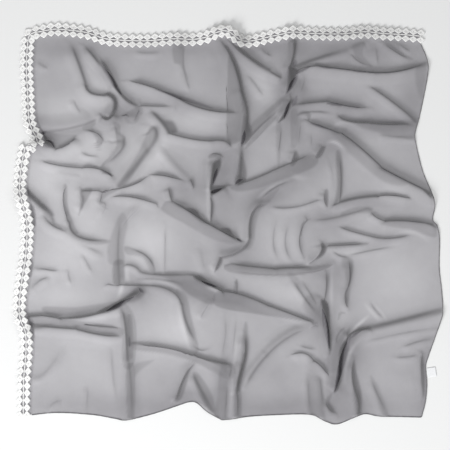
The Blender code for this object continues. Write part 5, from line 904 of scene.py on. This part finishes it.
def between_edges():
    """The folded cloth between the lace and the hems: x and y in cm, height in mm, and painted shade."""
    left, above = left_edge(STRIP_INNER), top_edge(STRIP_INNER)
    rows, columns = len(left) - 1, len(above) - 1
    right = even_stations([Place(*above[-1, :2])] + HEM_RIGHT[1:], rows)
    bottom = even_stations([Place(*left[-1, :2])] + HEM_BOTTOM[1:], columns)
    u = np.linspace(0, 1, columns + 1)[None, :, None]
    v = np.linspace(0, 1, rows + 1)[:, None, None]
    sides = (1 - u) * left[:, None, :2] + u * right[:, None, :]
    ends = (1 - v) * above[None, :, :2] + v * bottom[None, :, :]
    corners = (1 - v) * ((1 - u) * above[:1, None, :2] + u * above[-1:, None, :2])
    corners = corners + v * ((1 - u) * bottom[0] + u * bottom[-1])
    plan = sides + ends - corners

    height, pull, shade = cloth_form(plan.reshape(-1, 2))
    height, shade = height.reshape(plan.shape[:2]), shade.reshape(plan.shape[:2])
    down = np.arange(rows + 1)[:, None] * CLOTH_HEIGHT / rows
    across = np.arange(columns + 1)[None, :] * CLOTH_WIDTH / columns
    room = np.minimum(down, CLOTH_HEIGHT - down)
    room = np.minimum(room, np.minimum(across, CLOTH_WIDTH - across))
    height = height + WAVE_HEIGHT * soft_waves(plan) * ease(room, 0, WAVE_FADE)
    height[0], height[:, 0] = above[:, 2], left[:, 2]
    height[:, -1], height[-1] = calm(height[:, -1], HEM_CALM), calm(height[-1], HEM_CALM)
    plan = plan + ease(room, 0, EDGE_FADE)[:, :, None] * pull.reshape(plan.shape)
    return np.dstack([plan, height, shade])


def whole_sheet():
    """The whole cloth as one grid: x and y in cm, height in mm, and painted shade, with none in the
    strips.
    """
    distances = np.linspace(-STRIP_OUTER, STRIP_INNER, STRIP_ROWS + 1)[:-1]
    top_strip = np.stack([top_edge(distance) for distance in distances])
    left_strip = np.stack([left_edge(distance) for distance in distances], axis=1)
    upper = np.concatenate([rounded_corner(), top_strip], axis=1)
    upper, left_strip = (np.dstack([part, np.zeros(part.shape[:2])]) for part in (upper, left_strip))
    return np.concatenate([upper, np.concatenate([left_strip, between_edges()], axis=1)], axis=0)


SHEET = whole_sheet()

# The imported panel's box and the sheet's own edge give the way from the tables to the frame.
panel_low, panel_high = (np.array(corner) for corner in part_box("chiffon_panel"))
edge_line = np.vstack([SHEET[0], SHEET[-1], SHEET[:, 0], SHEET[:, -1]])[:, :2]
edge_middle = (edge_line.min(axis=0) + edge_line.max(axis=0)) / 2
MOVE = (panel_low[:2] + panel_high[:2]) / 2 - edge_middle * CM


def to_frame(places):
    """Metres in the frame from places in cm with heights in mm."""
    places = np.asarray(places, dtype=float)
    plan = places[..., :2] * CM + MOVE
    return np.concatenate([plan, places[..., 2:3] * MM], axis=-1)


# ---- objects ----


def add_object(name, data):
    thing = bpy.data.objects.new(name, data)
    bpy.context.scene.collection.objects.link(thing)
    return thing


def add_piece(name, points, faces, node, slot, material, attributes=None):
    """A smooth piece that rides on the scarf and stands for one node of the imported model."""
    mesh = bpy.data.meshes.new(name)
    mesh.from_pydata(points.tolist(), [], faces)
    mesh.polygons.foreach_set("use_smooth", [True] * len(mesh.polygons))
    for key, values in (attributes or {}).items():
        layer = mesh.attributes.new(key, "FLOAT", "POINT")
        layer.data.foreach_set("value", np.asarray(values, dtype=np.float32))
    mesh.update()
    piece = add_object(name, mesh)
    mesh.materials.append(material)
    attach(piece, "root")
    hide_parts(node)
    return piece


def grid_faces(rows, columns, start=0, closed=False):
    """Quads of a grid whose rows run down and columns run right, facing up."""
    index = np.arange(rows * columns).reshape(rows, columns) + start
    if closed:
        index = np.concatenate([index, index[:, :1]], axis=1)
    quads = np.stack([index[1:, :-1], index[1:, 1:], index[:-1, 1:], index[:-1, :-1]], axis=-1)
    return quads.reshape(-1, 4).tolist()


def joined(parts):
    """The points and faces of several parts as those of one."""
    points, faces, start = [], [], 0
    for part_points, part_faces in parts:
        points.append(part_points)
        faces += [[index + start for index in face] for face in part_faces]
        start += len(part_points)
    return np.vstack(points), faces


# ---- materials ----

MIX_FIRST, MIX_SECOND, MIX_RESULT = 6, 7, 2  # the sockets of a mixing node that are for colours
STITCH_PITCH = 0.0028  # m between the stitches of a rolled hem


def new_material(name, colour, settings):
    material = bpy.data.materials.new(name)
    material.use_nodes = True
    shader = material.node_tree.nodes["Principled BSDF"]
    shader.inputs["Base Color"].default_value = (*colour, 1)
    for socket, value in settings.items():
        shader.inputs[socket].default_value = value
    return material, shader


def add_node(material, kind, **settings):
    node = material.node_tree.nodes.new(kind)
    for name, value in settings.items():
        if name in node.inputs:
            node.inputs[name].default_value = value
        else:
            setattr(node, name, value)
    return node


def link(material, output, target):
    material.node_tree.links.new(output, target)


def stored(material, name):
    """What the points of a piece store under the name."""
    return add_node(material, "ShaderNodeAttribute", attribute_name=name).outputs["Fac"]


def ranged(material, output, **ends):
    """A value stretched from its ends to 0 and 1."""
    node = add_node(material, "ShaderNodeMapRange", **ends)
    link(material, output, node.inputs["Value"])
    return node.outputs["Result"]


def mix_colours(material, factor, first, second):
    """A colour between two colours, by a factor that is a socket."""
    mix = add_node(material, "ShaderNodeMix", data_type="RGBA")
    link(material, factor, mix.inputs["Factor"])
    for socket, colour in ((mix.inputs[MIX_FIRST], first), (mix.inputs[MIX_SECOND], second)):
        if isinstance(colour, bpy.types.NodeSocket):
            link(material, colour, socket)
        else:
            socket.default_value = (*colour, 1)
    return mix.outputs[MIX_RESULT]


def thread_bump(material, shader, scale, strength, distance=0.0002):
    """Fine crossing threads pressed into the surface."""
    where = add_node(material, "ShaderNodeTexCoord").outputs["Object"]
    add = add_node(material, "ShaderNodeMath", operation="ADD")
    settings = {"Scale": scale, "Distortion": 1.5, "Detail": 2, "Detail Scale": 2}
    for socket, direction in zip(add.inputs, ("X", "Y")):
        wave = add_node(material, "ShaderNodeTexWave", bands_direction=direction, **settings)
        link(material, where, wave.inputs["Vector"])
        link(material, wave.outputs["Fac"], socket)
    bump = add_node(material, "ShaderNodeBump", Strength=strength, Distance=distance)
    link(material, add.outputs[0], bump.inputs["Height"])
    link(material, bump.outputs["Normal"], shader.inputs["Normal"])


def chiffon_material():
    """Sheer grey cloth with painted light and shade: its points say how much painted light it has, and
    how much painted shade under and beside its folds.
    """
    looks = {"Roughness": 0.7, "Alpha": 0.7, "Sheen Weight": 0.1, "Specular IOR Level": 0.2}
    material, shader = new_material("chiffon", (0.5, 0.49, 0.52), looks)
    where = add_node(material, "ShaderNodeTexCoord")
    parts = add_node(material, "ShaderNodeSeparateXYZ")
    link(material, where.outputs["Normal"], parts.inputs[0])
    upright = add_node(material, "ShaderNodeMath", operation="ABSOLUTE")
    link(material, parts.outputs["Z"], upright.inputs[0])
    # Painted shade: the cloth is darker where its faces stand steep.
    steep = ranged(material, upright.outputs[0], **{"From Min": 0.95, "From Max": 0.4})
    cloud = add_node(material, "ShaderNodeTexNoise", Scale=16, Detail=5, Roughness=0.6)
    link(material, where.outputs["Object"], cloud.inputs["Vector"])
    low = mix_colours(material, cloud.outputs["Fac"], (0.23, 0.223, 0.241), (0.315, 0.307, 0.330))
    high = mix_colours(material, cloud.outputs["Fac"], (0.75, 0.74, 0.77), (0.85, 0.84, 0.87))
    # Painted light and shade: the stored tone picks between the dark and the light end.
    tone = mix_colours(material, stored(material, "painted_light_tone"), low, high)
    tone = mix_colours(material, steep, tone, (0.15, 0.145, 0.158))
    # Painted shade: darker still where the stored shade says so.
    painted_dark = mix_colours(material, stored(material, "shade"), tone, (0.03, 0.027, 0.034))
    link(material, painted_dark, shader.inputs["Base Color"])
    thread_bump(material, shader, 900, 0.15)
    return material


def lace_material():
    looks = {"Roughness": 0.8, "Sheen Weight": 0.2}
    material, shader = new_material("lace_thread", (0.84, 0.84, 0.83), looks)
    cloud = add_node(material, "ShaderNodeTexNoise", Scale=180)
    tone = mix_colours(material, cloud.outputs["Fac"], (0.91, 0.91, 0.905), (0.97, 0.97, 0.965))
    # Painted shadow: the lace is darker where its stored shade says so.
    painted_dark = mix_colours(material, stored(material, "shade"), tone, (0.10, 0.10, 0.095))
    link(material, painted_dark, shader.inputs["Base Color"])
    thread_bump(material, shader, 420, 0.5, 0.0004)
    return material


def hem_material():
    """The cloth's grey, with painted shade in a stitch's dimple every few millimetres along the hem."""
    material, shader = new_material("hem_roll", (0.16, 0.158, 0.165), {"Roughness": 0.8})
    pitch = add_node(material, "ShaderNodeMath", operation="MULTIPLY")
    pitch.inputs[1].default_value = 2 * math.pi / STITCH_PITCH
    link(material, stored(material, "along"), pitch.inputs[0])
    wave = add_node(material, "ShaderNodeMath", operation="SINE")
    link(material, pitch.outputs[0], wave.inputs[0])
    # Painted shade: darker in each stitch's dimple and lighter between.
    rise = ranged(material, wave.outputs[0], **{"From Min": 0.2})
    tone = mix_colours(material, rise, (0.13, 0.128, 0.135), (0.23, 0.226, 0.236))
    link(material, tone, shader.inputs["Base Color"])
    thread_bump(material, shader, 700, 0.3)
    return material


def label_material():
    material, shader = new_material("label_weave", (0.80, 0.81, 0.83), {"Roughness": 0.6})
    cloud = add_node(material, "ShaderNodeTexNoise", Scale=60)
    tone = mix_colours(material, cloud.outputs["Fac"], (0.77, 0.78, 0.80), (0.84, 0.85, 0.86))
    link(material, tone, shader.inputs["Base Color"])
    thread_bump(material, shader, 800, 0.2)
    return material


# ---- the cloth ----

TURN_BACK = (-STRIP_OUTER, 1.3)  # cm from the lace's middle line, the two sides of the turned-back edge
TURN_BACK_ROWS = 4
TURN_BACK_CELLS = 2  # along it, for each station
TURN_BACK_DROP = 0.25  # mm under the sheet

UNDER_LAYER_REST = 0.15  # mm over the surface
UNDER_LAYER_STEPS = 24  # along it
UNDER_LAYER_ROWS = 4
UNDER_LAYER_END = 0.03  # share of its taper that is cut off at either end
# painted shade of the under layers, nearly black
UNDER_LAYER_PAINTED_SHADE = 0.9


def make_sheet(material):
    rows, columns = SHEET.shape[:2]
    places = SHEET.copy()
    places[:, :, 2] += CLOTH_REST
    points = to_frame(places).reshape(-1, 3)
    # Painted light: broad patches of painted light and shade and the painted ridge highlights make the
    # tone.
    ridge_highlights = ridge_highlight(SHEET)
    broad = BROAD_TONES * np.clip(MIDDLE_TONE + (1 - MIDDLE_TONE) * patch_sum(SHEET, LIGHT_AND_SHADE_PATCHES), 0, 1)
    painted_light_tone = np.clip(broad + (1 - BROAD_TONES) * ridge_highlights, 0, 1)
    # Painted shade from the folds and from the doubled and steep areas, lessened under the painted ridge
    # highlights.
    shade = 1 - (1 - SHEET[:, :, 3]) * (1 - doubled_and_painted_shade(SHEET))
    shade *= 1 - RIDGE_CLEARS * np.clip(ridge_highlights, 0, 1)
    # Painted shadow in the cloth beside the left lace's inner teeth.
    shade[STRIP_ROWS:, STRIP_ROWS - 1:STRIP_ROWS + 1] += LACE_EDGE_PAINTED_SHADOW
    tones = {"painted_light_tone": painted_light_tone.ravel(), "shade": shade.ravel()}
    faces = grid_faces(rows, columns)
    return add_piece("chiffon_sheet", points, faces, "chiffon_panel", "chiffon", material, tones)


def make_turn_back(material):
    """The cloth's edge turned back under the lace, as a second layer just under the sheet."""
    distances = np.linspace(*TURN_BACK, TURN_BACK_ROWS + 1)
    parts = []
    for run in (TOP_RUN, UPPER_RUN, LOWER_RUN):
        cells = run.cells * TURN_BACK_CELLS
        strip = np.stack([run.beside(distance, cells) for distance in distances])
        strip[:, :, 2] += CLOTH_REST - TURN_BACK_DROP
        parts.append((to_frame(strip).reshape(-1, 3), grid_faces(len(distances), cells + 1)))
    return add_piece("hem_turn_back", *joined(parts), "chiffon_panel", "chiffon", material)


def make_under_layers(material):
    """The further layers of the cloth that lie flat under its deepest folds, painted nearly black for the
    shade in them.
    """
    half = taper(UNDER_LAYER_STEPS, UNDER_LAYER_END)[:, None]
    parts = []
    for layer in UNDER_LAYERS:
        line = fold_line(layer, UNDER_LAYER_STEPS)
        across = leftward(unit(np.gradient(line, axis=0))) * half * layer.wide
        shares = np.linspace(1, -1, UNDER_LAYER_ROWS + 1)
        plan = np.stack([line + share * across for share in shares])
        places = np.dstack([plan, np.full(plan.shape[:2], UNDER_LAYER_REST)])
        parts.append((to_frame(places).reshape(-1, 3), grid_faces(len(shares), len(line))))
    points, faces = joined(parts)
    tones = {"painted_light_tone": np.zeros(len(points)), "shade": np.full(len(points), UNDER_LAYER_PAINTED_SHADE)}
    return add_piece("fold_under_layers_painted_dark", points, faces, "chiffon_panel", "chiffon", material, tones)


# ---- the lace: heights and widths in mm ----

DIAMOND_HALF = 1.16  # half a diamond's width, in stations, so that neighbours overlap
DIAMOND_MIDDLE = 9.15  # from the lace's middle line, as are the next two
DIAMOND_TIP = 18.7
DIAMOND_HEEL = 1.0
DIAMOND_POINTS = 24  # round a diamond
DIAMOND_DIMPLE = 0.8  # height of its middle
DIAMOND_RINGS = (  # share of the way to the rim, and height
    (0.10, 1.0), (0.22, 1.55), (0.36, 1.15), (0.50, 1.2), (0.66, 1.75), (0.84, 1.65), (0.97, 1.0),
    (1.0, 0.0),
)
RIM_POWER = 1.12  # 1 would give sharp corners and 2 a round rim
LACE_UNDER = 1.2  # underside of the lace over the form that the cloth follows
BAR_HALF = 1.35  # half the width of the bar along the lace
BAR_HEIGHT = 1.6
BAR_SWELL = 0.12  # share by which it swells at each station
BAR_STEPS = 3  # along it, for each station
BAR_SIDES = 6  # over its round top


def run_points(run, station, across_mm, height_mm):
    """Frame points of places on a run of lace."""
    station = np.asarray(station, dtype=float)
    plan = run.plan(station, np.asarray(across_mm) * MM / CM)
    lift = run.lift(station) + LACE_UNDER + np.asarray(height_mm)
    return to_frame(np.column_stack([plan, lift]))


def rhombus_rim():
    """Rim of a diamond with softened corners, from -1 to 1 both ways."""
    angle = np.linspace(0, 2 * math.pi, DIAMOND_POINTS, endpoint=False)
    cosine, sine = np.cos(angle), np.sin(angle)
    radius = (np.abs(cosine) ** RIM_POWER + np.abs(sine) ** RIM_POWER) ** (-1 / RIM_POWER)
    return np.column_stack([radius * cosine, radius * sine])


def diamond(run, tip, side):
    """Points and faces of one padded diamond with a dimple in its middle."""
    rim = rhombus_rim()
    reach = np.where(rim[:, 1] > 0, DIAMOND_TIP - DIAMOND_MIDDLE, DIAMOND_MIDDLE - DIAMOND_HEEL)
    station, across, height = [tip], [side * DIAMOND_MIDDLE], [DIAMOND_DIMPLE]
    for share, rise in DIAMOND_RINGS:
        station += (tip + share * rim[:, 0] * DIAMOND_HALF).tolist()
        across += (side * (DIAMOND_MIDDLE + share * rim[:, 1] * reach)).tolist()
        height += [rise] * DIAMOND_POINTS
    points = run_points(run, station, across, height)
    faces = [[0, 1 + k, 1 + (k + 1) % DIAMOND_POINTS] for k in range(DIAMOND_POINTS)]
    faces += [face[::-1] for face in grid_faces(len(DIAMOND_RINGS), DIAMOND_POINTS, 1, closed=True)]
    if side > 0:
        faces = [face[::-1] for face in faces]
    return points, faces


def bar(run, start, end):
    """The cord along the middle of the lace, low under the diamonds and proud between them."""
    station = np.linspace(start, end, int((end - start) * BAR_STEPS) + 1)
    swell = 1 + BAR_SWELL * np.cos(2 * math.pi * station)
    rows = [
        run_points(run, station, BAR_HALF * math.cos(angle) * swell, BAR_HEIGHT * math.sin(angle) * swell)
        for angle in np.linspace(0, math.pi, BAR_SIDES + 1)
    ]
    return np.stack(rows).reshape(-1, 3), grid_faces(len(rows), len(station))


def make_lace(name, runs, node, material):
    """Lace along some runs, each given with the stations of its first and last diamonds."""
    parts = []
    for run, first, last in runs:
        parts.append(bar(run, max(0, first - 2), run.cells))
        parts += [diamond(run, tip, side) for tip in range(first, last + 1, 2) for side in (-1, 1)]
    points, faces = joined(parts)
    # Painted shadow on the lace, from the table of lace shadows.
    shade = patch_sum((points[:, :2] - MOVE) / CM, LACE_SHADES)
    return add_piece(name, points, faces, node, "lace", material, {"shade": np.clip(shade, 0, 1)})


# ---- hems ----

HEM_RADIUS = 0.95  # mm
HEM_SIDES = 8
HEM_STEP = 0.0022  # m from ring to ring
HEM_WOBBLES = ((0.12, 0.0031), (0.10, 0.0117))  # share of the radius, and length in m
HEM_OUT = 0.8  # how far its middle is outside the cloth's edge, as a share of the radius


def make_hem(name, edge, node, material):
    """A rolled hem round an edge whose left hand looks away from the cloth."""
    path = to_frame(edge)
    travelled = distances_along(path)
    fine = np.arange(0, travelled[-1], HEM_STEP)
    path = resample(fine, travelled, path)
    along = unit(np.gradient(path, axis=0))
    left = unit(np.column_stack([leftward(along), np.zeros(len(along))]))
    up = np.cross(along, left)
    up *= np.sign(up[:, 2:])
    wobble = sum((share * np.sin(fine / length) for share, length in HEM_WOBBLES), 1)
    radius = (HEM_RADIUS * MM * wobble)[:, None]
    centre = path + left * HEM_RADIUS * MM * HEM_OUT
    centre[:, 2] += HEM_RADIUS * MM
    ring = [
        centre + radius * (math.cos(angle) * left + math.sin(angle) * up)
        for angle in np.linspace(0, 2 * math.pi, HEM_SIDES, endpoint=False)
    ]
    points = np.stack(ring, axis=1)
    faces = grid_faces(len(path), HEM_SIDES, closed=True)
    faces += [list(range(HEM_SIDES))[::-1]]
    faces += [[(len(path) - 1) * HEM_SIDES + k for k in range(HEM_SIDES)]]
    travel = np.repeat(fine, HEM_SIDES)
    return add_piece(name, points.reshape(-1, 3), faces, node, "hem", material, {"along": travel})


# ---- the label ----

LABEL_CELLS = 16
LABEL_REST = 0.4  # mm, its sewn end over the surface
LABEL_CURL = 0.5  # mm that its free end rises
LABEL_WAVE = 0.2  # mm that its far side rises more
LABEL_WALL = 0.0004  # m thick


def make_label(material):
    """A blank woven label, hung out of the hem and curling up a little at its free end."""
    out, along = LABEL_SIZE
    turn = math.radians(LABEL_TURN)
    share = np.linspace(0, 1, LABEL_CELLS + 1)
    outs, alongs = np.meshgrid(share * out, (share - 0.5) * along, indexing="xy")
    height = LABEL_REST + LABEL_CURL * (outs / out) ** 3
    height = height + LABEL_WAVE * np.sin(3 * outs / out) * (0.5 + alongs / along)
    x = LABEL_PLACE.x + outs * math.cos(turn) - alongs * math.sin(turn)
    y = LABEL_PLACE.y + outs * math.sin(turn) + alongs * math.cos(turn)
    points = to_frame(np.dstack([x, y, height])).reshape(-1, 3)
    faces = [face[::-1] for face in grid_faces(LABEL_CELLS + 1, LABEL_CELLS + 1)]
    label = add_piece("blank_label", points, faces, "care_label", "label", material)
    wall = label.modifiers.new("wall", "SOLIDIFY")
    wall.thickness = LABEL_WALL
    wall.offset = 1.0
    return label


# ---- the room ----

VIEW_MIDDLE = Place(-1.3, 0.0)  # cm, what the camera looks down at
VIEW_WIDTH = 117.0  # cm across the picture
CAMERA_LENS = 85  # mm
SENSOR = 36  # mm
FLOOR_HALF = 20.0  # m
ROOM_LIGHT = 0.45  # strength of the even white light from all round
LIGHTS = (  # name, place in m, width in m and power in W
    ("key", (-2.2, -3.6, 2.2), 2.2, 212),
    ("fill", (4.2, -3.0, 2.6), 2.6, 50),
    ("top", (0, 0.3, 3.2), 2.5, 20),
)


def make_floor():
    looks = {"Roughness": 0.9, "Specular IOR Level": 0.1}
    material, _ = new_material("floor_paper", (0.80, 0.805, 0.805), looks)
    mesh = bpy.data.meshes.new("floor")
    corners = [(x * FLOOR_HALF, y * FLOOR_HALF, 0) for x, y in ((-1, -1), (1, -1), (1, 1), (-1, 1))]
    mesh.from_pydata(corners, [], [(0, 1, 2, 3)])
    floor = add_object("floor", mesh)
    mesh.materials.append(material)


def make_lights():
    for name, place, size, power in LIGHTS:
        light = bpy.data.lights.new(name, "AREA")
        light.shape = "DISK"
        light.size = size
        light.energy = power
        lamp = add_object(name, light)
        lamp.location = place
        lamp.rotation_euler = (Vector() - Vector(place)).to_track_quat("-Z", "Y").to_euler()
    world = bpy.data.worlds.new("room")
    bpy.context.scene.world = world
    world.use_nodes = True
    background = world.node_tree.nodes["Background"]
    background.inputs["Color"].default_value = (1, 1, 1, 1)
    background.inputs["Strength"].default_value = ROOM_LIGHT


def make_camera():
    data = bpy.data.cameras.new("camera")
    data.lens = CAMERA_LENS
    data.sensor_width = SENSOR
    camera = add_object("camera", data)
    x, y = np.array(VIEW_MIDDLE) * CM + MOVE
    camera.location = (x, y, VIEW_WIDTH * CM * CAMERA_LENS / SENSOR)
    bpy.context.scene.camera = camera


def main():
    make_floor()
    make_camera()
    make_lights()
    bpy.context.scene.view_settings.view_transform = "Standard"
    chiffon = chiffon_material()
    sheet = make_sheet(chiffon)
    turn_back = make_turn_back(chiffon)
    under_layers = make_under_layers(chiffon)
    white = lace_material()
    top_runs = ((TOP_RUN, 0, TOP_CELLS), (CORNER_RUN, 2, 2), (UPPER_RUN, 0, UPPER_LEFT_CELLS))
    lace_top = make_lace("guipure_top_corner", top_runs, "lace_trim_top_corner", white)
    left_runs = ((LINK_RUN, 4, 4), (LOWER_RUN, 0, LOWER_LEFT_CELLS))
    lace_left = make_lace("guipure_left", left_runs, "lace_trim_left", white)
    hem = hem_material()
    hem_right = make_hem("hem_roll_right", SHEET[STRIP_ROWS:, -1], "rolled_hem_right", hem)
    hem_bottom = make_hem("hem_roll_bottom", SHEET[-1, :STRIP_ROWS - 1:-1], "rolled_hem_bottom", hem)
    label = make_label(label_material())


main()
